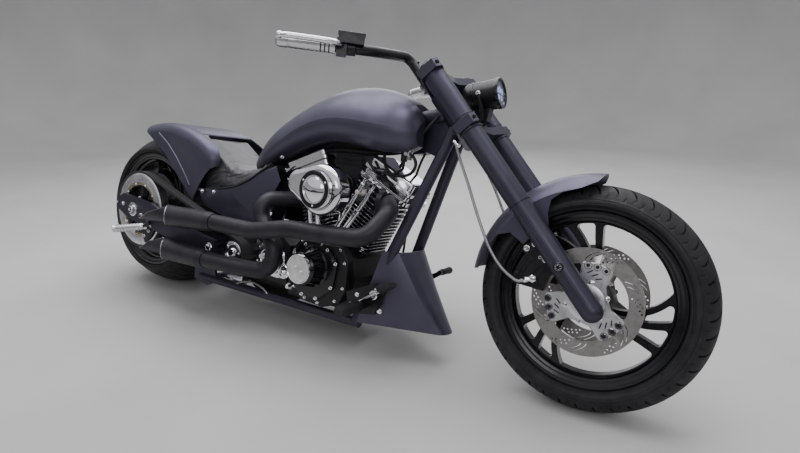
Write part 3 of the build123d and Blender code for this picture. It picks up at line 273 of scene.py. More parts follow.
rubber = Finish(
    "tyre_rubber", "tyre", (0.012, 0.011, 0.013), 0.62,
    (noise(18.0, 8.0, 0.65), 0.35, (0.008, 0.0075, 0.009), 0.8, (0.024, 0.022, 0.025)),
    (noise(45.0, 5.0), 0.3, 0.50, 0.7, 0.72), [(noise(900.0), 0.16, 0.0005)], Specular_IOR_Level=0.35)
creases = noise(26.0, 5.0, stretch=(0.6, 1.6, 1.0))
hide = Finish(
    "leather", "leather", (0.034, 0.032, 0.036), 0.42,
    (creases, 0.35, (0.024, 0.022, 0.026), 0.75, (0.052, 0.049, 0.056)), (cells(620.0), 0.1, 0.34, 0.7, 0.55),
    [(creases, 0.22, 0.003), (cells(620.0), 0.22, 0.0006)], Coat_Weight=0.35, Coat_Roughness=0.38)
weave = noise(300.0, 3.0, stretch=(1.0, 6.0, 1.0))
belt = Finish(
    "belt_rubber", "belt", (0.018, 0.018, 0.019), 0.65,
    (weave, 0.3, (0.012, 0.012, 0.013), 0.8, (0.034, 0.033, 0.034)), bumps=[(weave, 0.2, 0.0006)])
# Steel braid under a clear sleeve
braid = Finish(
    "braided_hose", "hose", (0.45, 0.45, 0.46), 0.35,
    (cells(900.0), 0.2, (0.62, 0.62, 0.63), 0.6, (0.20, 0.20, 0.21)), bumps=[(cells(900.0), 0.3, 0.0004)],
    Metallic=0.85, Coat_Weight=0.6, Coat_Roughness=0.1)
Finish(
    "lens_glass", "lens", (0.78, 0.84, 1.0), 0.04, None, (noise(60.0), 0.3, 0.02, 0.8, 0.09),
    [(cells(90.0), 0.15, 0.001)], Transmission_Weight=0.92, IOR=1.48)
gloss_black = Finish(
    "gloss_black", "black_metal", (0.004, 0.004, 0.005), 0.16,
    (noise(30.0), 0.3, (0.003, 0.003, 0.004), 0.8, (0.008, 0.008, 0.010)), (noise(80.0, 6.0), 0.3, 0.13, 0.8, 0.26),
    [(noise(420.0, 2.0), 0.04, 0.0004)])
disc_steel = Finish(
    "disc_steel", "brushed", (0.36, 0.35, 0.34), 0.36,
    (noise(38.0, 10.0, 0.72), 0.3, (0.27, 0.255, 0.245), 0.75, (0.43, 0.415, 0.40)),
    (noise(240.0, 3.0), 0.3, 0.30, 0.7, 0.46), [(noise(600.0, 2.0), 0.05, 0.0002)], Metallic=1.0)
spun_silver = tinted_metal("spun_silver", "silver", (0.70, 0.70, 0.72), 0.33, spots=25.0)
bronze = tinted_metal("bronze_band", "silver", (0.42, 0.33, 0.20), 0.34)
satin_cap = tinted_metal("satin_cap", "silver", (0.78, 0.77, 0.76), 0.5, metallic=0.7, spots=25.0)
ceramic = tinted_metal("white_ceramic", "silver", (0.72, 0.70, 0.66), 0.25, metallic=0.0)
worn_edge = tinted_metal("worn_edge", "exhaust_black", (0.46, 0.46, 0.48), 0.30, spots=70.0)
# Frosted light emitters of the lamp, faintly lit
lamp_glow = Finish(
    "lamp_glow", "lens", (0.55, 0.66, 0.95), 0.18,
    (cells(160.0), 0.2, (0.35, 0.48, 0.85), 0.7, (0.85, 0.9, 1.0)), bumps=[(cells(220.0), 0.3, 0.001)],
    Metallic=0.6, Coat_Weight=0.8, Emission_Color=(0.45, 0.6, 1.0, 1.0), Emission_Strength=0.6)

# Lean of each cylinder from straight up, forwards positive
bore_lean = {"front": 27.0, "rear": -21.0}
node_finish = {name + "_cylinder": finned_barrel(name + "_fin_metal", lean) for name, lean in bore_lean.items()}
node_finish.update({"front_rim": gloss_black, "rear_rim": gloss_black, "cam_cover": gloss_black,
                    "rear_pulley": spun_silver, "triple_trees": frame_paint, "right_fork_leg": frame_paint,
                    "left_fork_leg": frame_paint})
for part in frame["record"]["subparts"]:
    chosen = node_finish.get(part["node"], slot_finish[part["material_slot"]])
    materials = nodes[part["node"]].data.materials
    materials.clear()
    materials.append(chosen.material)

# Shape building
up, down = (0, 0, 1), (0, 0, -1)
sides = {-1: "right", 1: "left"}


class Piece:
    """A mesh under way, in millimetres in the frame of its body. Side -1 mirrors what is put in.

    An axis that is not given points outwards, away from the machine's middle.
    """

    def __init__(self, body="frame", side=1, origin=(0, 0, 0), forward=(1, 0, 0), up=None):
        self.body, self.side = body, side
        self.frame = body_frame[body] @ Matrix.Translation(Vector(origin) / 1000)
        if up is not None:
            z = Vector(up).normalized()
            x = Vector(forward)
            x = (x - z * x.dot(z)).normalized()
            self.frame = self.frame @ frame_matrix(x, z.cross(x), z, Vector((0, 0, 0)))
        self.mesh = bmesh.new()

    def on_side(self, point):
        return Vector((point[0], point[1] * self.side, point[2]))

    def skin(self, rings, looped=False):
        """Faces between closed rings of points, with capped ends or joined end to end."""
        rows = [[self.mesh.verts.new(self.frame @ (Vector(point) / 1000)) for point in ring] for ring in rings]
        if looped:
            rows.append(rows[0])
        for low, high in zip(rows, rows[1:]):
            for k in range(len(low)):
                after = (k + 1) % len(low)
                self.mesh.faces.new((low[k], low[after], high[after], high[k]))
        if not looped:
            self.mesh.faces.new(rows[0][::-1])
            self.mesh.faces.new(rows[-1])
        return self

    def lathe(self, centre, profile, sides=32, axis=None, looped=False):
        """Turned shape from (distance along the axis, radius) points."""
        centre = self.on_side(centre)
        axis = self.on_side(axis).normalized() if axis else Vector((0, math.copysign(1, centre.y), 0))
        u = axis.orthogonal().normalized() if abs(axis.y) < 0.9 else Vector(up).cross(axis).normalized()
        v = axis.cross(u)
        return self.skin([[centre + axis * along + (u * c + v * s) * radius for c, s in circle(sides)]
                          for along, radius in profile], looped)

    def tube(self, points, radius, sides=12, steps=8, looped=False):
        """Round tube along a smooth line through the points. The radius may be a list, one for each point."""
        line, radii = smooth_line([self.on_side(point) for point in points], radius, steps, looped)
        rings = []
        across = None
        for i, (point, width) in enumerate(zip(line, radii)):
            before = line[i - 1] if i or looped else line[0]
            after = line[(i + 1) % len(line)] if i < len(line) - 1 or looped else line[-1]
            along = (after - before).normalized()
            if across is None:
                across = along.orthogonal().normalized()
            across = (across - along * across.dot(along)).normalized()
            other = along.cross(across)
            rings.append([point + (across * c + other * s) * width for c, s in circle(sides)])
        return self.skin(rings, looped)

    def plate(self, outline, low, high, bevel=0):
        """Plate from a side view outline of (x, z) points between two distances to the left, edges eased."""
        low, high = sorted((self.side * low, self.side * high))
        steps = [(low, 0), (high, 0)]
        if bevel:
            steps = [(low, bevel), (low + bevel, 0), (high - bevel, 0), (high, bevel)]
        return self.skin([[(x, y, z) for x, z in inset_outline(outline, inset)] for y, inset in steps])

    def screw(self, place, radius, height, kind="socket", axis=None):
        """Machine screw with a washer: socket head, hexagon head or low button."""
        r, h = radius, height
        head, count = {
            "socket": ([(0.5, r), (h * 0.86, r), (h, r * 0.87), (h, r * 0.52), (h * 0.45, r * 0.5)], 20),
            "hexagon": ([(0.5, r * 1.1), (h * 0.82, r * 1.1), (h, r * 0.9)], 6),
            "button": ([(0.5, r), (h * 0.5, r * 0.96), (h * 0.85, r * 0.7), (h, r * 0.45), (h * 0.6, r * 0.4)], 20),
        }[kind]
        self.lathe(place, [(-1, r * 1.45), (0.6, r * 1.45), (0.9, r * 1.38), (0.9, r * 0.9)], 20, axis)
        return self.lathe(place, head, count, axis)

    def screws(self, y, points, radius, height, kind="socket", axis=None):
        """Screws at side view points on one face."""
        for x, z in points:
            self.screw((x, y, z), radius, height, kind, axis)
        return self

    def data(self, name):
        bmesh.ops.recalc_face_normals(self.mesh, faces=self.mesh.faces)
        return mesh_data(name, self.mesh)

    def build(self, name, finish, smooth=38, replaces=()):
        return dress(name, self.data(name), self.body, finish, smooth, replaces)


def dress(name, data, body, finish, smooth=38, replaces=()):
    """Object of a finished mesh, with its material and its body; the parts it replaces are hidden."""
    for polygon in data.polygons:
        polygon.use_smooth = True
    data.set_sharp_from_angle(angle=math.radians(smooth))
    data.materials.append(finish.material)
    obj = put(name, data)
    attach(obj, body)
    if replaces:
        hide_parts(*replaces)
    return obj


def smooth_line(points, radius, steps, looped=False):
    """Points and radii along a smooth line through the given points."""
    radii = list(radius) if isinstance(radius, (list, tuple)) else [radius] * len(points)
    count = len(points)
    line = []
    widths = []
    for i in range(count if looped else count - 1):
        a, b, c, d = (points[k % count] if looped else points[min(max(k, 0), count - 1)] for k in range(i - 1, i + 3))
        for step in range(steps):
            t = step / steps
            line.append(((b * 2) + (c - a) * t + (a * 2 - b * 5 + c * 4 - d) * t * t
                         + (b * 3 - a - c * 3 + d) * t ** 3) * 0.5)
            widths.append(radii[i] + (radii[(i + 1) % count] - radii[i]) * t)
    if not looped:
        line.append(points[-1])
        widths.append(radii[-1])
    return line, widths


def corners_of(outline):
    """Each point of a closed outline with the points before and after it."""
    return zip(outline[-1:] + outline[:-1], outline, outline[1:] + outline[:1])


def inset_outline(outline, inset):
    """Outline moved inwards by a distance, corner by corner."""
    if not inset:
        return outline
    area = sum(a[0] * b[1] - b[0] * a[1] for _, a, b in corners_of(outline))
    turn = math.copysign(1, area)
    moved = []
    for before, here, after in corners_of(outline):
        first = Vector((here[0] - before[0], here[1] - before[1])).normalized()
        second = Vector((after[0] - here[0], after[1] - here[1])).normalized()
        inward = (Vector((-first.y, first.x)) + Vector((-second.y, second.x))) * turn
        size = max(inward.length_squared / 2, 0.3)
        moved.append((here[0] + inward.x * inset / size, here[1] + inward.y * inset / size))
    return moved


def rounded_outline(corners, radius, steps=5):
    """Outline with each corner rounded by an arc."""
    outline = []
    for before, here, after in corners_of(corners):
        here = Vector(here)
        first = Vector(before) - here
        second = Vector(after) - here
        reach = min(radius, first.length * 0.45, second.length * 0.45)
        start = here + first.normalized() * reach
        end = here + second.normalized() * reach
        for step in range(steps + 1):
            t = step / steps
            outline.append((start * (1 - t) ** 2 + here * 2 * t * (1 - t) + end * t * t)[:])
    return outline


def rounded_box(x0, y0, x1, y1, radius, steps=5):
    return rounded_outline([(x0, y0), (x1, y0), (x1, y1), (x0, y1)], radius, steps)


def polar(radius, angle, centre=(0, 0)):
    """Side view point at a radius and an angle about a centre."""
    return centre[0] + radius * cos(angle), centre[1] + radius * sin(angle)


def ring_points(centre, radius, count, start=0):
    """Side view points spaced evenly round a circle."""
    return [polar(radius, start + 360 * k / count, centre) for k in range(count)]


def smoothstep(value, low, high):
    t = min(max((value - low) / (high - low), 0), 1)
    return t * t * (3 - 2 * t)


# Tyres
def tyre(body, radius, width, crown, rim_width, sweep, repeats=40):
    """Tyre whose tread has long and short curved grooves cut along a sheared grid, and ringed sidewalls."""
    half = width / 2
    bead, bead_radius, foot_radius, widest_above = rim_width / 2, 246, 226.4, 245
    shoulder = math.asin(min(1, half * 0.9 / crown))
    shoulder_r = radius - crown * (1 - math.cos(shoulder))
    # Half section from the middle of the tread to the bead: y, radius, outward y, outward radius, share of the
    # tread (1 to 2 on the sidewall), height of the relief
    rows = []
    tread_rows = 17
    for i in range(tread_rows + 1):
        share = i / tread_rows
        angle = shoulder * share
        rows.append((crown * math.sin(angle), radius - crown * (1 - math.cos(angle)), math.sin(angle),
                     math.cos(angle), share, 0))
    # Sidewall: share of the way to the bead, height of the relief
    relief = [(0.05, 0), (0.09, 0), (0.11, -1.2), (0.14, -1.2), (0.16, 0), (0.27, 0), (0.38, 0),
              (0.46, 0), (0.48, 0.9), (0.50, 0.9), (0.52, 0), (0.60, 0), (0.68, 0), (0.74, 0),
              (0.77, 2.2), (0.84, 2.4), (0.88, 0.4), (0.94, 0), (1, 0)]
    start, end = Vector((crown * math.sin(shoulder), shoulder_r)), Vector((bead, bead_radius))
    control = Vector((half, (shoulder_r + widest_above) / 2)) * 2 - (start + end) * 0.5
    for share, height in relief:
        here = start * (1 - share) ** 2 + control * 2 * share * (1 - share) + end * share ** 2
        along = ((control - start) * (1 - share) + (end - control) * share).normalized()
        rows.append((here.x, here.y, -along.y, along.x, 1 + share, height))
    rows.append((bead, foot_radius, 0, 0, 2.1, 0))
    section = rows[::-1] + [(-y, r, -dy, dr, -share, height) for y, r, dy, dr, share, height in rows[1:]]
    # Columns of one repeat: place in the pitch, depth of the near groove, depth of the far groove
    columns = [(-0.066, 0, 0), (-0.044, 1, 0), (0.044, 1, 0), (0.066, 0, 0), (0.20, 0, 0), (0.34, 0, 0),
               (0.434, 0, 0), (0.456, 0, 1), (0.544, 0, 1), (0.566, 0, 0), (0.70, 0, 0), (0.84, 0, 0)]
    depth = 6.0

    def groove(share, is_long):
        if is_long:
            return smoothstep(share, 0.03, 0.10) * (1 - smoothstep(share, 0.72, 0.86))
        return 0.35 * smoothstep(share, 0.74, 0.82) * (1 - smoothstep(share, 0.90, 0.98))

    rings = []
    for repeat in range(repeats):
        for place, first, second in columns:
            ring = []
            for y, r, dy, dr, share, height in section:
                reach = min(abs(share), 1)
                bent = math.radians(sweep) * math.sin(0.62 * math.pi * reach)
                angle = 2 * math.pi * (repeat + place) / repeats + bent
                out = height
                if reach < 1:
                    out -= depth * max(first * groove(reach, share < 0), second * groove(reach, share >= 0))
                ring.append(((r + dr * out) * math.cos(angle), y + dy * out, (r + dr * out) * math.sin(angle)))
            rings.append(ring)
    name = body.replace("wheel", "tyre")
    Piece(body).skin(rings, looped=True).build(name + "_tread", rubber, 32, (name,))


tyre("front_wheel", 319.5, 134, 67, 82, -7)
tyre("rear_wheel", 333.5, 302, 190, 266, -9)


# Brake discs: drilled and slotted rings on spun carriers
def evaluated(obj):
    """Mesh of an object with its modifiers applied. The object is removed."""
    bpy.context.view_layer.update()
    made = bpy.data.meshes.new_from_object(obj.evaluated_get(bpy.context.evaluated_depsgraph_get()))
    bpy.data.objects.remove(obj)
    return made


def welded(node):
    """Copy of a node's mesh with its seams joined."""
    mesh = bmesh.new()
    mesh.from_mesh(node.data)
    bmesh.ops.remove_doubles(mesh, verts=mesh.verts, dist=2e-6)
    return mesh


def drilled_discs():
    """The brake discs with holes and curved slots cut through."""
    # A group of holes: radius, angle from the group's middle
    holes = [(141, -9.5), (135, -6), (141, -2.5), (129, -1.5), (135, 1.5), (123, 3.5), (129, 6.5), (117, 8)]
    cutter = Piece("front_wheel")
    for base in range(0, 360, 60):
        for radius, angle in holes:
            x, z = polar(radius, base + 8 + angle)
            cutter.lathe((x, -95, z), [(0, 2.7), (190, 2.7)], 10, (0, 1, 0))
        for shift in (-4, 3):
            outline = []
            for edge, order in ((1.5, 1), (-1.5, -1)):
                shares = [(step / 6, 114 + 27 * (step / 6)) for step in range(7)][::order]
                outline += [polar(radius, base + 36 + shift - 15 * share ** 1.4 + math.degrees(edge / radius))
                            for share, radius in shares]
            cutter.plate(outline, -95, 95)
    tool = put("disc_cutter", cutter.data("disc_cutter"))
    obj = put("drilled_discs", mesh_data("welded", welded(nodes["front_discs"])))
    cut = obj.modifiers.new("cut", "BOOLEAN")
    cut.operation = "DIFFERENCE"
    cut.solver = "EXACT"
    cut.use_self = True
    cut.object = tool
    made = evaluated(obj)
    bpy.data.objects.remove(tool)
    made.materials.clear()
    dress("drilled_front_discs", made, "front_wheel", disc_steel, 30, ("front_discs",))


drilled_discs()
disc_face = 77.5
carriers, rivets, shadows = (Piece("front_wheel") for _ in range(3))
for side in sides:
    carriers.side = rivets.side = shadows.side = side
    # Three-lobed carrier with a turned hub
    outline = []
    for angle in range(0, 360, 3):
        away = abs((angle - 80 + 60) % 120 - 60)
        outline.append(polar(109 - 45 * smoothstep(away, 21, 33) - 9 * smoothstep(away, 33, 60), angle))
    carriers.plate(outline, disc_face - 1, disc_face + 1.6, 0.6)
    carriers.lathe((0, disc_face, 0), [(0, 50), (3, 50), (4.4, 47), (4.4, 30), (3, 28)], 64)
    for lobe in (80, 200, 320):
        for x, z in (polar(100.5, lobe + shift) for shift in (-14, 0, 14)):
            at = (x, disc_face, z)
            rivets.lathe(at, [(0, 9.2), (3.8, 9.2), (5, 8.4), (5, 5.2), (2.4, 4.8)], 24)
            shadows.lathe(at, [(1, 4.6), (3.2, 4.6)], 20)
            shadows.lathe(at, [(1, 10.4), (2, 10.4), (2, 9.1), (1, 9.1)], 28, looped=True)
        rivets.screws(disc_face, [polar(60 * 0.93, lobe - 60)], 5.5, 6, "button")
        rivets.screws(disc_face + 1.5, [polar(54, lobe)], 5.5, 6, "button")
        for shift, radius in ((-10, 72), (0, 78), (10, 84)):
            here = Vector(polar(radius, lobe + shift))
            tangent = Vector(polar(1, lobe + shift + 125))
            across = Vector((tangent.y, -tangent.x))
            outline = [(here + tangent * (8 * a) + across * (1.6 * b))[:] for a, b in
                       ((-1, -1), (1, -1), (1.15, 0), (1, 1), (-1, 1), (-1.15, 0))]
            shadows.plate(outline, disc_face + 1, disc_face + 1.75)
carriers.build("disc_carriers", spun_silver, 30)
rivets.build("disc_rivets", bright, 40)
shadows.build("disc_shadow_slots", black, 30)


# Seat: padded leather
def under_seat(point):
    """Height in millimetres of the seat's foot under a point of the machine's side view."""
    line = [(-650, 452), (-600, 458), (-530, 468), (-452, 476), (-384, 492), (-320, 522), (-262, 562), (-250, 566)]
    for (x0, z0), (x1, z1) in zip(line, line[1:]):
        if point.x <= x1:
            return z0 + (z1 - z0) * (point.x - x0) / (x1 - x0)
    return line[-1][1]


def on_bike(vertex):
    """Place of a vertex in the machine's own frame, in millimetres."""
    return (bike.inverted() @ vertex.co) * 1000


def press(mesh, depth):
    """Moves each vertex of a bmesh inwards by the depth in metres that a function gives for it."""
    mesh.normal_update()
    moves = [vertex.normal * -depth(vertex) for vertex in mesh.verts]
    for vertex, move in zip(mesh.verts, moves):
        vertex.co += move


def swollen_by_cloth(even):
    """The seat's mesh after a cloth simulation under pressure, held along its foot."""
    rest = [vertex.co.copy() for vertex in even.vertices]
    obj = put("seat_cushion", even)
    held = obj.vertex_groups.new(name="held")
    for vertex in even.vertices:
        place = on_bike(vertex)
        if place.z < under_seat(place) + 14:
            held.add([vertex.index], 1, "REPLACE")
    cloth = obj.modifiers.new("swell", "CLOTH")
    settings = cloth.settings
    settings.quality = 5
    settings.mass = 0.3
    settings.use_pressure = True
    settings.uniform_pressure_force = 4.0
    settings.vertex_group_mass = "held"
    settings.tension_stiffness = 12.0
    settings.compression_stiffness = 6.0
    settings.bending_stiffness = 0.4
    settings.effector_weights.gravity = 0.0
    cloth.collision_settings.use_self_collision = False
    cloth.point_cache.frame_start = 1
    cloth.point_cache.frame_end = 20
    for number in range(1, 21):
        scene.frame_set(number)
    swollen = evaluated(obj)
    scene.frame_set(1)
    most = 0.008
    for vertex, start in zip(swollen.vertices, rest):
        move = vertex.co - start
        if move.length > most:
            move *= most / move.length
        vertex.co = start + move
    return swollen


def crease(vertex):
    """Depth in metres of the sitting creases and of the seam at a vertex."""
    place = on_bike(vertex)
    facing = vertex.normal.dot(bike_up)
    low = 0.0
    if facing > 0.25:
        # Creases across the dish, deeper towards its sides
        for x, lean_back, depth, wide in ((-498, 0.16, 1.7, 7), (-455, 0.10, 2.1, 8), (-402, -0.05, 1.5, 7),
                                          (-350, -0.12, 1.3, 6), (-548, 0.2, 1.2, 6)):
            bent = x + lean_back * abs(place.y) + 9 * math.sin(place.y * 0.045 + x)
            low += depth * smoothstep(abs(place.y), 18, 95) * math.exp(-((place.x - bent) / wide) ** 2)
    # Seam with its welt along the roll of the side
    seam = place.z - under_seat(place) - (62 if place.x < -470 else 44)
    if abs(facing) < 0.75 and abs(place.y) > 90:
        low += 2.2 * math.exp(-(seam / 3) ** 2) - 1.2 * math.exp(-((seam - 8) / 4) ** 2)
    return low / 1000


def padded_seat():
    """Seat slimmed, remeshed evenly, swollen by a cloth simulation, then creased and seamed."""
    slim = welded(nodes["seat"])
    press(slim, lambda vertex: 0.0035)
    obj = put("seat_cushion", mesh_data("slim_seat", slim))
    remesh = obj.modifiers.new("even", "REMESH")
    remesh.mode = "VOXEL"
    remesh.voxel_size = 0.0055
    even = evaluated(obj)
    shaped = bmesh.new()
    shaped.from_mesh(swollen_by_cloth(even))
    bmesh.ops.subdivide_edges(shaped, edges=shaped.edges, cuts=1, use_grid_fill=True, smooth=0)
    bmesh.ops.smooth_vert(shaped, verts=shaped.verts, factor=0.5, use_axis_x=True, use_axis_y=True, use_axis_z=True)
    press(shaped, crease)
    dress("seat_leather", mesh_data("seat_leather", shaped), "frame", hide, 80, ("seat",))


padded_seat()

# Piping along the foot of the seat, and the bright bolts of the panel's rear corner
trim, bolts = Piece(), Piece()
foot = [(-610, 452, 133), (-596, 457, 139), (-560, 462, 145), (-530, 467, 148), (-452, 475, 150), (-384, 491, 148),
        (-320, 521, 145), (-262, 561, 139), (-218, 592, 130)]
for side in sides:
    trim.side = bolts.side = side
    trim.tube([(x, y + 5, z + 1) for x, z, y in foot], 4.2, 10)
    for x, z in ((-566, 452), (-506, 456)):
        outside = bike @ Vector((x / 1000, side * 0.4, z / 1000))
        found, place, _, _ = nodes["seat_panel"].ray_cast(outside, bike_left * -side)
        if found:
            reach = side * (bike.inverted() @ place).y * 1000
            bolts.screw((x, reach + 0.5, z), 6, 7, "button", (0, 1, 0.15))
trim.build("seat_trim", black)
bolts.build("panel_bolts", bright)

# Engine. Pieces of a barrel are drawn up its bore from the crank: x forward, y left, z up the bore.
crank = Vector((45, 0, 232))


def bore_up(lean):
    return Vector((sin(lean), 0, cos(lean)))


for name, lean in bore_lean.items():
    facing = math.copysign(1, lean)
    middle = facing * 20.0
    screws, gaskets, plug, base = (Piece(origin=crank, up=bore_up(lean)) for _ in range(4))
    # Rocker box: screws on the lid's flange and along its near side, and gasket lines
    for x in (-96, -36, 36, 96):
        for y in (-68.5, 68.5):
            screws.screw((middle + x, y, 410.5), 4.2, 6, axis=up)
    screws.screws(-75.5, [(middle + x, 372) for x in (-88, -30, 30, 88)], 3.6, 4, "button")
    screws.build(name + "_rocker_screws", bright)
    for z, inset in ((379.6, 7.2), (399.4, 0.4), (365.6, -0.4)):
        outline = rounded_box(middle - 108 + inset, -75 + inset, middle + 108 - inset, 75 - inset, 14)
        gaskets.skin([[(x, y, z + height) for x, y in outline] for height in (-0.9, 0.9)])
    gaskets.build(name + "_rocker_gaskets", black, 30)
    # Spark plug on the near side of the head, nuts at the foot of the barrel
    plug.lathe((-facing * 34, -72, 318), [(-6, 12), (6, 12), (8, 10), (10, 10), (14, 8), (16, 8.5), (30, 8.5),
                                          (33, 6.5)], 20, (-0.25 * facing, -1, -0.1))
    plug.build(name + "_spark_plug", ceramic)
    for x, y in ((-62, -62), (62, -62), (-62, 62), (62, 62)):
        base.lathe((x, y, 139), [(0, 9), (9, 9), (11, 7.5)], 6, up)
        base.lathe((x, y, 139), [(0, 5), (16, 5), (17, 4)], 12, up)
    base.build(name + "_base_nuts", bright)

# Inlet manifold in the V between the heads, with its ribs and the tray under the tank
manifold = Piece()
manifold.plate(rounded_outline([(0, 662), (130, 662), (124, 604), (98, 520), (72, 440), (56, 440), (34, 520),
                                (6, 604)], 10), -46, 46, 4)
for z in (618, 634, 650):
    manifold.plate(rounded_box(4, z, 126, z + 5, 2, 2), -52, 52, 1)
manifold.lathe((66, -44, 548), [(0, 34), (12, 34), (14, 30), (60, 27), (96, 27)], 36)
manifold.plate(rounded_outline([(-40, 664), (150, 674), (262, 692), (300, 716), (300, 750), (-40, 744)], 8),
               -30, 30, 2)
manifold.build("inlet_manifold", engine_black)

# Pushrod tubes: spring cap keepers and O-ring seats
keepers = Piece()
for lean in bore_lean.values():
    for spread in (-1, 1):
        along = bore_up(lean)
        across = Vector((along.z, 0, -along.x))
        top = crank + across * (spread * 22 - math.copysign(18, lean)) + Vector((0, -88, 0)) + along * 365
        low = Vector((45 + math.copysign(34, lean) + spread * 15, -128, 345))
        span = top - low
        reach = span.length
        keepers.lathe(low, [(2, 13.6), (reach * 0.05, 13.6), (reach * 0.065, 11.4), (reach * 0.075, 10.2)], 28, span)
        for at in (reach * 0.525, reach * 0.592):
            keepers.lathe(low, [(at - 1.5, 12.2), (at - 1, 13), (at + 1, 13), (at + 1.5, 12.2)], 28, span)
        keepers.lathe(low, [(reach * 0.9, 7.8), (reach * 0.91, 9.8), (reach * 0.94, 9.8), (reach * 0.95, 7.8)], 28,
                      span)
keepers.build("pushrod_keepers", bright)

# Air cleaner: black ring round the polished dome, bright trim and screws, slits and seam of the cover
Piece().lathe((118, -279.5, 535), [
    (-0.5, 43), (-0.5, 60.6), (1, 60.6), (1.9, 59.6), (1.9, 57.6), (2.5, 57), (2.5, 46.5), (1.9, 45.8),
    (1.9, 43.6), (1, 42.8)], 96, looped=True).build("air_cleaner_ring", gloss_black)
cover_trim = Piece()
for profile in ([(0, 45.4), (1.9, 45.4), (1.9, 43), (0, 43)],
                [(-1, 61.4), (0.6, 61.4), (0.6, 59.8), (-1, 59.8)]):
    cover_trim.lathe((118, -281, 535), profile, 96, looped=True)
cover_trim.screws(-281.8, ring_points((118, 535), 51.5, 3, 30), 2.8, 2.6).build("air_cleaner_trim", bright)
slits = Piece()
for z in (512, 525, 538, 551):
    slits.plate(rounded_outline([(182, z), (193, z + 2), (193, z + 6), (182, z + 4)], 2, 3), -270.6, -269)
slits.build("air_cleaner_slits", black, 30)
seam_line = [(96, 456), (150, 466), (190, 494), (207, 534), (192, 576), (152, 604), (100, 613), (28, 592),
             (0, 578), (-12, 560), (-8, 530), (14, 506), (52, 484)]
Piece().tube([(x, -215, z) for x, z in seam_line], 1.3, 8, looped=True).build("air_cleaner_seam", black)

# Gear case screws, cam cap and its rim
case = Piece()
case.screws(-158.3, [(-56, 200), (-8, 152), (56, 150), (119, 200), (132, 285), (92, 326), (-6, 330), (-56, 292)],
            4.6, 6.5)
case.screws(-150.3, [(-70, 232), (-52, 170), (0, 140), (60, 134), (134, 156), (164, 206), (164, 292), (142, 334),
                     (60, 337), (-30, 337), (-62, 300)], 3.8, 5.5)
case.screws(-224, [(12, 262), (39, 250)], 4.4, 3.2).build("gear_case_screws", bright)
cam_centre = (25, -218, 256)
Piece().lathe(cam_centre, [(-3, 46.8), (5.2, 46.8), (5.6, 45.6), (5.8, 2)], 96).build("cam_cap", satin_cap)
Piece().lathe(cam_centre, [(-3, 51.4), (5.2, 51.4), (7, 50), (7.2, 48.6), (6, 46.9), (-3, 46.6)], 96,
              looped=True).build("cam_cap_rim", bright)
# Oil pump and feed fittings behind the cap's lower rear, and the braided line
pump = Piece()
pump.lathe((-98, -128, 214), [(0, 27), (34, 27), (38, 24), (38, 20), (34, 18.5), (34, 12), (37, 11)], 40)
pump.lathe((-66, -150, 168), [(0, 13), (12, 13), (14, 11), (22, 9), (24, 7)], 6)
pump.screw((-98, -165.5, 214), 6, 6, "hexagon").build("oil_fittings", bright)
Piece().tube([(-379, -124, 106), (-342, -120, 121), (-290, -120, 128), (-232, -124, 117), (-186, -128, 92),
              (-150, -120, 84)], 4.2).build("oil_lines", braid)

# Pan under the gearbox, and the bright cone at its rear
Piece().plate(rounded_outline([(-362, 168), (-96, 160), (-74, 104), (-120, 88), (-330, 94), (-372, 128)], 14),
              -80, 80, 6).build("gearbox_pan", engine_black)
cone = Piece()
cone.lathe((-452, -104, 122), [(0, 8), (8, 12), (54, 23), (80, 27), (88, 27), (92, 24)], 40, (1, 0.12, 0.06))
cone.screw((-404, -128, 124), 4, 5).build("pan_cone", spun_silver)

# Transmission: polished side cover, release cluster and screws
rear_hub, belt_hub = (-926, 333.5), (-318, 252)
box = Piece()
box.plate(rounded_outline([(-276, 176), (-138, 170), (-130, 258), (-162, 314), (-262, 322), (-284, 300)], 26, 6),
          -128, -117, 4)
box.lathe((-200, -134, 245), [(0, 62.5), (7, 62.5), (12, 56), (14, 48), (14, 34), (11, 31), (11, 22), (18, 20),
                              (22, 15), (22, 9)], 64)
box.lathe((-206, -150, 250), [(0, 12), (20, 12), (26, 9), (34, 8)], 20, (0.3, -1, 0.2))
box.screws(-143, ring_points((-200, 245), 53, 6, 20), 4, 6)
box.screws(-128, [(-268, 188), (-148, 182), (-142, 256), (-168, 304), (-256, 310)], 4, 6)
box.lathe((-318, -204, 252), [(0, 43), (3, 43), (5, 40), (5, 30), (3, 28), (3, 16), (9, 15), (12, 12)], 48)
box.screws(-208.5, ring_points(belt_hub, 34, 5), 3.6, 4).build("transmission_covers", bright)

# Carburettor: bell, top, ribbed knob and wire loop
carb = Piece()
carb.lathe((68, -150, 548), [(0, 30), (6, 31), (9, 31), (11, 28), (16, 26), (18, 20)], 36, up)
carb.lathe((68, -176, 500), [(0, 24), (14, 24), (20, 20), (24, 12)], 32, down)
carb.lathe((68, -188, 529), [(0, 34), (6, 36), (12, 36), (14, 34), (25, 33)], 40, (0, -1, 0.16))
for x in (44, 92):
    carb.screw((x, -150 + (x - 68) * 0.6, 557), 2.6, 5, axis=up)
carb.build("carburettor_bell", bright)
profile = [(0, 13)]
for at in range(2, 37, 5):
    profile += [(at, 15.5), (at + 2.4, 15.5), (at + 3.2, 13.6), (at + 4.4, 13.6)]
Piece().lathe((140, -180, 452), profile + [(38, 11)], 28, (0.35, -0.55, 0.55)).build("carburettor_knob", rubber)
Piece().tube([(154, -196, 470), (176, -214, 462), (170, -216, 428), (140, -206, 404), (110, -190, 400)],
             2, 8).build("choke_rod", bright)


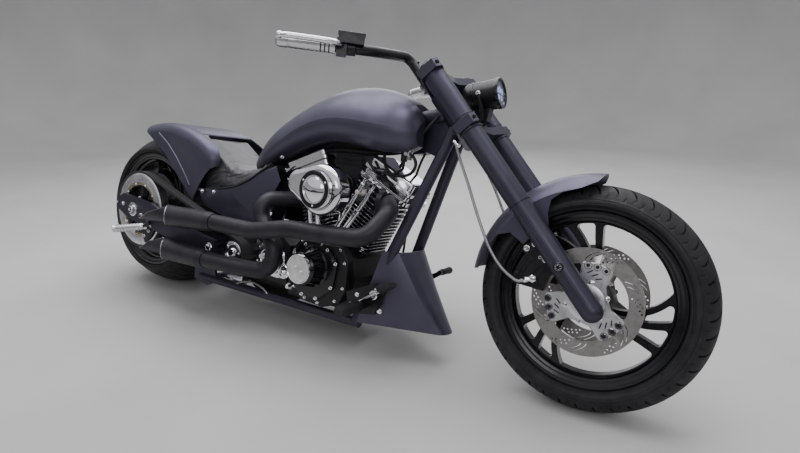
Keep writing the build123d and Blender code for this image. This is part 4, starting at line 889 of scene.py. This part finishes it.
# Exhausts: bright lips along the cut ends, and studs
def muffler_lip(x0, z0, z1, near_end, tongue_end):
    """Closed line of a muffler's cut end: round the near side, along the tongue and round its tip."""
    y, rear_x, edge = -290, -860, 28
    length = x0 - rear_x
    tip = [(tongue_end, 80), (tongue_end - 10, 46), (tongue_end - 120, 15), (tongue_end - 185, -5),
           (tongue_end - 225, -40), (tongue_end - 230, -80)]

    def radius(x):
        return 36 + (47 - 36) * max(x0 - x - 26, 0) / (length - 26) - 1.4

    def height(x):
        return z0 + (z1 - z0) * (x0 - x) / length

    def tip_x(z):
        for (xa, za), (xb, zb) in zip(tip, tip[1:]):
            if z >= zb:
                return xa + (xb - xa) * (za - z) / (za - zb)
        return tip[-1][0]

    def along_edge(start, end, count, way):
        """Points along the top (way 1) or the foot (way -1) of the tongue."""
        for step in range(1, count):
            x = start + (end - start) * step / count
            yield x, y + edge, height(x) + way * math.sqrt(radius(x) ** 2 - edge ** 2)

    line = []
    # Round the near side, from the top of the tongue to its foot; angles are from straight up
    from_up = math.asin(edge / radius(near_end - 70))
    for step in range(25):
        phi = -from_up + (math.pi + 2 * from_up) * step / 24
        x = near_end - 40.0
        for _ in range(4):
            x = near_end - (54 - radius(x) * math.sin(phi)) * 72 / 76
        line.append((x, y - radius(x) * math.sin(phi), height(x) + radius(x) * math.cos(phi)))
    # Back along the foot of the tongue, round its tip on the far side, and forward along its top
    far_x = tip_x(-math.sqrt(radius(tongue_end - 200) ** 2 - edge ** 2))
    line += along_edge(line[-1][0], far_x, 8, -1)
    from_up = math.asin(edge / radius(far_x))
    for step in range(17):
        phi = math.pi - from_up - (math.pi - 2 * from_up) * step / 16
        x = tongue_end - 100
        for _ in range(6):
            x = tip_x(radius(x) * math.cos(phi) + height(x) - z1)
        line.append((x, y + radius(x) * math.sin(phi), height(x) + radius(x) * math.cos(phi)))
    return line + list(along_edge(line[-1][0], line[0][0], 6, 1))


lips = Piece()
for cut_end in ((-330, 366, 343, -548, -612), (-362, 225, 223, -562, -600)):
    lips.tube(muffler_lip(*cut_end), 2.3, 8, steps=2, looped=True)
lips.build("exhaust_lips", worn_edge)
studs = Piece()
for x, z in ((255, 545), (265, 467)):
    studs.lathe((x, -76, z), [(0, 3), (6, 3)], 12, (1, 0, 0))
for y, z in ring_points((-76, 506), 34.5, 3, 60):
    studs.screw((258, y, z), 3.6, 8, "hexagon", (1, 0, 0))
studs.build("exhaust_studs", bright)

# Belt teeth inside the free runs between the rear and the front pulley
teeth = Piece()
rear_centre, front_centre = Vector(rear_hub), Vector(belt_hub)
rear_radius, front_radius, pitch_length = 156.3, 44.3, 14
span = front_centre - rear_centre
tilt = math.asin((rear_radius - front_radius) / span.length)
for way in (1, -1):
    angle = math.atan2(span.y, span.x) + way * (math.pi / 2 - tilt)
    normal = Vector((math.cos(angle), math.sin(angle)))
    start = rear_centre + normal * rear_radius
    run = front_centre + normal * front_radius - start
    for step in range(3, int(run.length / pitch_length) - 2):
        middle = start + run.normalized() * (pitch_length * step)
        teeth.plate([(middle + run.normalized() * a - normal * b)[:] for a, b in
                     ((-4.2, -0.6), (4.2, -0.6), (2.8, 3.4), (-2.8, 3.4))], -203.4, -166.6)
teeth.build("belt_teeth", belt, 30)

# Rear pulley: bolts of the ring on its spider, turned face and bronze band
pulley = Piece("rear_wheel")
pulley.screws(-201.3, ring_points((0, 0), 109, 10), 4.2, 4)
pulley.screws(-192.2, ring_points((0, 0), 50, 5, 36), 5, 6).build("pulley_screws", bright)
Piece("rear_wheel").lathe((0, -204, 0), [
    (-1, 117), (0.8, 117.6), (1.2, 120), (0.7, 133), (1.2, 147), (0.6, 150.4), (-1, 150.8)],
    128, looped=True).build("pulley_face", spun_silver)
Piece("rear_wheel").lathe((0, -201, 0), [
    (-1, 104.4), (0.6, 104.6), (1, 106), (1, 113.2), (0.2, 114.8), (-1, 114.9)],
    128, looped=True).build("pulley_band", bronze)

# Axle ends, swingarm hardware, pegs
for side, label in sides.items():
    ends, adjuster, peg, mount = (Piece(side=side) for _ in range(4))
    ends.lathe((-926, 241.8, 333.5), [(0, 15), (3, 15), (5, 13), (5, 7), (2, 6)], 24)
    ends.lathe((-926, 229.8, 333.5), [(0, 29), (2.6, 29), (3.2, 27), (3.2, 20.4)], 40)
    ends.screw((-1000, 230, 350), 6, 8, "hexagon").screw((-866, 230, 318), 5, 7)
    ends.screw((-425, 229.8, 255), 12, 9, "hexagon").screws(230.2, [(-818, 300), (-800, 280)], 5, 7)
    ends.build(label + "_swingarm_bolts", bright)
    adjuster.lathe((-1042, 222, 349), [(0, 9), (3, 9), (3, 5.5), (16, 5.5), (17, 4.5)], 6, (-1, 0, 0))
    adjuster.build(label + "_axle_adjuster", brushed)
    start, end = Vector((-818, 230, 276)), Vector((-925, 312, 254))
    reach = (end - start).length
    profile = [(16, 13.6)]
    for at in range(22, 119, 12):
        profile += [(at, 15.6), (at + 7.5, 15.6), (at + 8.5, 13.6), (at + 11, 13.6)]
    peg.lathe(start, profile + [(reach - 1, 15.6), (reach + 2, 13.5)], 32, end - start)
    peg.build(label + "_peg_ribs", silver)
    mount.tube([(-800, 231, 292), (-812, 236, 284), (-826, 242, 274), (-836, 246, 262)], [10, 10, 9, 8], 16)
    mount.build(label + "_peg_arm", frame_paint)
Piece().screws(-214, [polar(123, -turn, rear_hub) for turn in (24, 42, 60)],
               5, 6).build("rear_caliper_bolts", bright)

# Fuel tank: flush cap, mounting bolts, tap and the fuel hose
Piece(origin=(110, 0, 885.5), up=(0.02, 0, 1)).lathe((0, 0, 0), [
    (-6, 33), (0.8, 33), (2.2, 31.4), (2.2, 29.6), (1.4, 28.8), (1.4, 27.6), (2.6, 26.4), (3.2, 12), (3.3, 1)],
    64, up).build("tank_cap", black)
bolts = Piece()
bolts.lathe((318, -58, 700), [(0, 14), (8, 14), (10, 11), (20, 11), (22, 9), (34, 9), (36, 11), (46, 10)], 24, down)
bolts.lathe((318, -64, 674), [(0, 8), (12, 8), (14, 6), (20, 6)], 20)
for side in sides:
    bolts.side = side
    bolts.screw((318, 62, 690), 6, 9, "hexagon", (0, 0.3, -1))
    bolts.screw((-205, 101, 622), 6, 6, "button", (0.1, 1, -0.2))
    bolts.screw((-596, 157, 520), 5, 5, "button", (0.2, 1, 0))
bolts.build("tank_bolts", bright)
Piece().tube([(330, -60, 672), (345, -60, 650), (343, -60, 628), (326, -60, 609), (294, -61, 600), (260, -62, 604),
              (235, -63, 624), (223, -60, 650), (219, -52, 684)], 5.4).build("fuel_line", rubber)

# Wiring from the neck under the tank, and down the far side of the engine
wires = Piece()
wires.tube([(392, -24, 800), (372, -40, 770), (330, -44, 720), (292, -40, 660), (268, -30, 628)], 5, 10)
wires.tube([(384, 26, 798), (350, 46, 746), (296, 52, 640), (268, 60, 520), (256, 74, 400), (244, 84, 300)], 4.4, 10)
wires.tube([(330, -30, 696), (240, -36, 674), (140, -40, 668), (30, -40, 668), (-60, -38, 652), (-118, -36, 606)],
           9).build("frame_wires", rubber)

# Fork: hoses, calipers and leg fittings, drawn in the fork's own frame
for side, label in sides.items():
    hose, fittings, housing, pins, collars, caps, star, stay = (Piece("fork", side) for _ in range(8))
    hose.tube([(-104, 115, 134), (-120, 118, 146), (-134, 122, 196), (-132, 125, 262), (-113, 123, 350),
               (-88, 112, 450), (-72, 98, 530), (-58, 88, 590)], 4.4, steps=10)
    hose.build(label + "_brake_hose", braid, replaces=("brake_hoses",) if side < 0 else ())
    fittings.lathe((-84, 113, 126), [(0, 6), (8, 6), (9, 7.2), (18, 7.2), (20, 5.4), (26, 5.2)], 6, (-0.93, 0, 0.36))
    fittings.lathe((-80, 104, 125), [(0, 11), (7, 11), (8, 9.5), (13, 9.5), (14, 8)], 6)
    fittings.lathe((-58, 88, 584), [(-16, 5), (-14, 7), (-2, 7), (2, 6), (10, 6)], 12, (-0.25, -0.18, 0.9))
    fittings.screws(110.3, [(-20, 150), (-20, 202), (-46, 204)], 6, 8).build(label + "_hose_fittings", bright)
    # Caliper: one long housing that follows the disc, with a raised oval and a bolt at each end
    for low, high, first, last, foot, top, bevel in ((140, 190, 96, 130, 96, 105, 3),
                                                     (152, 178, 105, 123, 104, 109, 2)):
        corners = [polar(high, turn) for turn in range(first, last + 1, 2)]
        corners += [polar(low, turn) for turn in range(last, first - 1, -2)]
        housing.plate(rounded_outline(corners, 12, 3), foot, top, bevel)
    for x, z in (polar(198, 101), polar(198, 125)):
        housing.lathe((x, 52, z), [(0, 7), (50, 7), (51, 5)], 16)
    housing.build(label + "_caliper_body", black)
    pins.screws(105.2, [polar(165, 100), polar(165, 126.5)], 5.5, 7).build(label + "_caliper_pins", bright)
    # Leg: collars at the joints, cap on top, cap on the slider, pinch bolts of the clamps
    for z, profile in ((314, [(0, 30.4), (1, 32.6), (7, 32.6), (8, 31)]),
                       (566, [(0, 32.2), (1, 35.2), (7, 35.2), (8, 34)]),
                       (612, [(0, 34.6), (1, 35.8), (5, 35.8), (6, 34.6)])):
        collars.lathe((10, 125, z), profile, 48, up)
    collars.build(label + "_leg_collars", frame_paint)
    caps.lathe((10, 125, 815), [(0, 29), (5, 29), (7, 27), (7, 19), (5.5, 18)], 48, up)
    caps.lathe((10, 125, 820), [(0, 14), (8, 14), (9.5, 12.5)], 6, up)
    caps.lathe((10, 161, 112), [(-1, 13.2), (0.8, 13.2), (1.6, 12.2), (1.6, 11), (0.9, 10.4), (0.9, 8),
                                (1.5, 7.4), (1.5, 3)], 40)
    caps.screws(153, [(x, z) for z in (589, 795) for x in (-26, 46)], 4.6, 7, axis=(0.2, 1, 0))
    caps.build(label + "_leg_caps", gloss_black)
    for x, z in ring_points((10, 112), 6.2, 6):
        star.lathe((x, 162.2, z), [(0, 1.1), (0.9, 1.1), (1.1, 0.8)], 10)
    star.lathe((10, 162.2, 112), [(0, 9.6), (0.6, 9.6), (0.6, 8.8), (0, 8.8)], 40, looped=True)
    star.build(label + "_cap_pins", bright)
    for z in (232, 268):
        stay.screw((4, 76, z), 5, 6, "button", (0, -1, 0)).screw((-8, 80.6, z), 5, 6, "button")
    stay.build(label + "_fender_bolts", bright)

# Clamps: stem nut, risers and bolts
clamp = Piece("fork")
clamp.lathe((-42, 0, 812), [(0, 24), (3, 24), (4, 20), (12, 20), (13, 18)], 6, up)
clamp.lathe((-42, 0, 823), [(0, 12), (6, 12), (9, 9), (10, 4)], 24, up)
for y in (-50, 50):
    clamp.lathe((-44, y, 812), [(0, 24), (4, 24), (6, 21), (6, 17)], 40, up)
    for z in (868, 892):
        clamp.screw((-44 + 15.5, y, z), 4, 6, axis=(1, 0, 0))
for y in (-30, 30):
    clamp.screw((-44, y, 893.2), 4.4, 5, axis=up)
clamp.build("clamp_hardware", gloss_black)

# Handlebar: grips, levers, reservoir lids and switches
for side, label in sides.items():
    end = Vector((-233, side * 402, 1049))
    along = (end - Vector((-81, side * 250, 920))).normalized()
    start = end - along * 150.0
    grip, bands, switch, buttons = (Piece("fork") for _ in range(4))
    grip.lathe(start, [
        (-4, 20), (-3, 22.2), (4, 22.2), (5, 20.6), (12, 20.6), (12.6, 19.4), (15.4, 19.4), (16, 20.6), (24, 20.6),
        (24.6, 19.4), (27.4, 19.4), (28, 20.6), (36, 20.6), (36.6, 19.4), (39.4, 19.4), (40, 20.8), (90, 21.2),
        (128, 20.8), (128.8, 19.8), (131, 19.8), (131.8, 21.4), (152, 21.4), (160, 19.8), (165, 15), (167.5, 8),
        (168, 2)], 48, along)
    grip.build(label + "_grip", silver, 30, ("grips",) if side < 0 else ())
    for at in (14, 26, 38):
        bands.lathe(start, [(at - 1.3, 18.8), (at - 1.3, 20.2), (at + 1.3, 20.2), (at + 1.3, 18.8)], 40, along, True)
    bands.build(label + "_grip_bands", rubber, 30)
    # Frame of the perch: x along the bar, z out of the bar's clamp
    lever, screws, lid = (Piece("fork", side, start - along * 22, along, (0.66, 0, 0.75)) for _ in range(3))
    lever.tube([(0, -20, 0), (14, -50, 0), (50, -57, 0), (100, -57.5, 0), (150, -56, 0), (172, -48, 0)],
               [7, 8.2, 8.6, 8.4, 8.2, 7.6], 14)
    lever.lathe((174, -47.4, 0), [(-8, 7), (-5, 9.4), (0, 10.6), (5, 9.4), (8, 6), (9, 2)], 20, (1, 0.35, 0))
    lever.build(label + "_lever", bright)
    for x in (-58, -26, 6):
        for y in (0, -32):
            screws.screw((x * 0.9, y, 37.2), 2.6, 2.6, axis=up)
    screws.lathe((0, -20, 4.4), [(0, 8), (3, 8), (4.5, 6)], 6, up).build(label + "_perch_screws", bright)
    lid.skin([[(x, y, z) for x, y in rounded_box(-66 + d, side * -16 - 22 + d, 14 - d, side * -16 + 22 - d, 7, 4)]
              for z, d in ((34, 0), (37.6, 0), (39, 1.2))])
    lid.build(label + "_reservoir_lid", black, 30)
    switch.lathe(start, [(-64, 17.5), (-62, 20.5), (-40, 21.5), (-36, 20), (-34, 17)], 36, along)
    switch.build(label + "_switch_housing", black)
    for shift in (-58, -48):
        buttons.lathe(start + along * shift, [(17, 4.2), (23.4, 4.2), (24.4, 3.2)], 16, (-0.75, 0, 0.66))
    buttons.build(label + "_switch_buttons", brushed)

# Lamp: rim and shell seam, light emitters, fork, bolts and lead
lamp_rear, lamp_front = Vector((20, 0, 709.5)), Vector((122, 0, 649.5))
lamp_along = (lamp_front - lamp_rear).normalized()
lamp_up = Vector((-lamp_along.z, 0, lamp_along.x))
rim_ring, emitters, bracket, lamp_bolts = (Piece("fork") for _ in range(4))
rim_ring.lathe(lamp_front, [(-12, 45.2), (-11, 47.4), (-1, 47.6), (1.6, 46.4), (2, 44), (0, 41.6), (-6, 41.2),
                            (-6, 44)], 72, lamp_along, True)
rim_ring.lathe(lamp_rear, [(34, 45.2), (35, 46.4), (39, 46.4), (40, 45.2)], 64, lamp_along)
rim_ring.build("lamp_rim", gloss_black)
for across, high, size in ((-20, 8, 10), (0, 12, 11), (20, 8, 10), (-13, -13, 9), (13, -13, 9)):
    emitters.lathe(lamp_front + Vector((0, across, 0)) + lamp_up * high,
                   [(-11.5, size), (-10, size), (-9.2, size * 0.8), (-9.4, size * 0.3)], 28, lamp_along)
emitters.build("lamp_emitters", lamp_glow)
for y in (-34, 34):
    bracket.tube([(30, y * 0.6, 612), (52, y, 640), (66, y * 1.32, 668), (72, y * 1.42, 684)], [7, 7, 6.5, 6])
bracket.build("lamp_fork", black)
for side in sides:
    lamp_bolts.side = side
    lamp_bolts.screw((72, 47, 680), 5.5, 7).screw((20, 20, 605), 5, 7, axis=up)
lamp_bolts.build("lamp_bolts", bright)
Piece("fork").tube([(28, 0, 694), (16, 0, 706), (8, 0, 726), (4, 0, 754), (2, 0, 790)], 4.5, 10).build(
    "lamp_lead", rubber)

# Foot controls
for side, label in sides.items():
    control, pads = Piece(side=side), Piece(side=side)
    control.screw((262, 150.2, 176), 9, 8, "hexagon").screw((292, 160.2, 220), 6, 7)
    control.lathe((300, 160, 216), [(0, 15), (5, 15), (6.5, 13), (6.5, 8), (5, 7)], 28)
    control.tube([(318, 168, 234), (276, 170, 204), (214, 160, 166)], 4.2, 10)
    control.lathe((214, 152, 166), [(0, 9), (14, 9), (15, 7)], 24)
    control.lathe((320, 160, 235), [(0, 8), (12, 8), (13.5, 6)], 20)
    control.screw((320, 150.2, 165), 6, 7).screws(150.2, [(228, 152), (226, 200), (300, 230)], 5.4, 6)
    control.build(label + "_control_hardware", bright)
    pads.lathe((262, 191, 176), [(0, 18.2), (2, 19.2), (70, 19.2), (71, 18.2), (74, 18.2), (75, 19.2), (94, 19.2),
                                 (99, 17.6), (101, 14)], 40)
    pads.lathe((366, 166, 262), [(0, 10.4), (2, 11.6), (52, 11.6), (60, 13.6), (68, 12.4), (71, 8)], 28)
    pads.build(label + "_foot_rubbers", rubber)

# Left side: clutch cover, primary cover's screws and window
primary = Piece().lathe((-235, 172, 235), [(-1, 66), (3, 66), (6, 63), (7, 58), (6, 30), (8, 20), (8.5, 2)], 72)
primary.screws(178.4, ring_points((-235, 235), 58, 5, 18), 4, 5).build("clutch_cover", gloss_black)
Piece().screws(166.5, [(45, 318), (-60, 318), (-160, 318), (-300, 292), (-320, 235), (-300, 178), (-160, 150),
                       (-60, 148), (45, 148), (112, 180), (130, 232), (112, 290)], 4.2, 7).build(
    "primary_screws", bright)
Piece().plate(rounded_outline([(-20, 262), (70, 268), (92, 232), (70, 196), (-20, 200)], 20), 171.5, 175,
              1.4).build("inspection_cover", gloss_black)


# Stage: a pale floor that sweeps up into a backdrop, a dark band for reflections, sky and soft light
def studio():
    reach, bend_radius, top, count = 5.5, 1.8, 2.6, 96
    profile = [(reach, 0.0)]
    profile += [(reach + bend_radius * sin(turn), bend_radius * (1 - cos(turn)))
                for turn in (step * 90 / 12 for step in range(1, 13))]
    profile.append((reach + bend_radius, top))
    mesh = bmesh.new()
    rings = [[mesh.verts.new((r * c, r * s, z)) for c, s in circle(count)] for r, z in profile]
    middle = mesh.verts.new((0, 0, 0))
    for k in range(count):
        after = (k + 1) % count
        mesh.faces.new((middle, rings[0][k], rings[0][after]))
        for low, high in zip(rings, rings[1:]):
            mesh.faces.new((low[k], high[k], high[after], low[after]))
    floor = put("studio_floor", mesh_data("studio_floor", mesh))
    for polygon in floor.data.polygons:
        polygon.use_smooth = True
    paper = Finish("floor_paper", None, (0.48, 0.475, 0.47), 0.85,
                   (noise(1.3, 3.0), 0.3, (0.43, 0.425, 0.42), 0.75, (0.49, 0.485, 0.48)),
                   bumps=[(noise(60.0, 6.0), 0.05, 0.002)])
    floor.data.materials.append(paper.material)


def dark_cards():
    """Dark band at the height of the horizon, which only reflections see."""
    mesh = bmesh.new()
    count = 72
    rows = []
    for step in range(count):
        turn = 2 * math.pi * step / count
        top = 0.62 + 0.16 * math.sin(3 * turn + 0.7) + 0.10 * math.sin(7 * turn + 2.0)
        rows.append([mesh.verts.new((4.2 * math.cos(turn), 4.2 * math.sin(turn), z)) for z in (0.16, top)])
    for first, second in zip(rows, rows[1:] + rows[:1]):
        mesh.faces.new((first[0], second[0], second[1], first[1]))
    cards = put("dark_cards", mesh_data("dark_cards", mesh))
    card = Finish("card_black", None, (0.02, 0.02, 0.024), 0.9,
                  (noise(2.0), 0.3, (0.014, 0.014, 0.018), 0.7, (0.03, 0.03, 0.036)))
    cards.data.materials.append(card.material)
    cards.visible_camera = cards.visible_diffuse = cards.visible_shadow = False


def sky():
    """World that is bright overhead and dimmer towards the horizon."""
    world = bpy.data.worlds.new("studio_air")
    world.use_nodes = True
    tree = world.node_tree
    parts = tree.nodes.new("ShaderNodeSeparateXYZ")
    tree.links.new(tree.nodes.new("ShaderNodeTexCoord").outputs["Generated"], parts.inputs["Vector"])
    ramp = tree.nodes.new("ShaderNodeValToRGB")
    tree.links.new(parts.outputs["Z"], ramp.inputs["Fac"])
    ramp.color_ramp.elements.new(0.3)
    stops = ((0.0, (0.20, 0.21, 0.24)), (0.22, (0.80, 0.83, 0.93)), (0.7, (1.0, 1.0, 1.0)))
    for element, (position, colour) in zip(ramp.color_ramp.elements, stops):
        element.position = position
        element.color = (*colour, 1.0)
    background = tree.nodes["Background"]
    tree.links.new(ramp.outputs["Color"], background.inputs["Color"])
    background.inputs["Strength"].default_value = 0.72
    scene.world = world


def soft_light(name, place, aim, size, power, tint=(1.0, 1.0, 1.0)):
    lamp = put(name, bpy.data.lights.new(name, "AREA"))
    lamp.data.shape = "RECTANGLE"
    lamp.data.size, lamp.data.size_y = size
    lamp.data.energy = power
    lamp.data.color = tint
    lamp.location = place
    lamp.rotation_euler = (Vector(aim) - Vector(place)).to_track_quat("-Z", "Y").to_euler()
    lamp.visible_camera = False


studio()
dark_cards()
sky()
soft_light("sky_panel", (-0.3, 0.4, 3.6), (0, 0, 0.4), (4.6, 3.4), 190.0, (0.95, 0.96, 1.0))
soft_light("near_panel", (2.2, -3.4, 2.6), (0.1, 0, 0.5), (2.4, 1.4), 26.0)
soft_light("back_panel", (-1.8, 3.4, 2.4), (0, 0, 0.5), (3.0, 1.6), 40.0, (0.95, 0.97, 1.0))
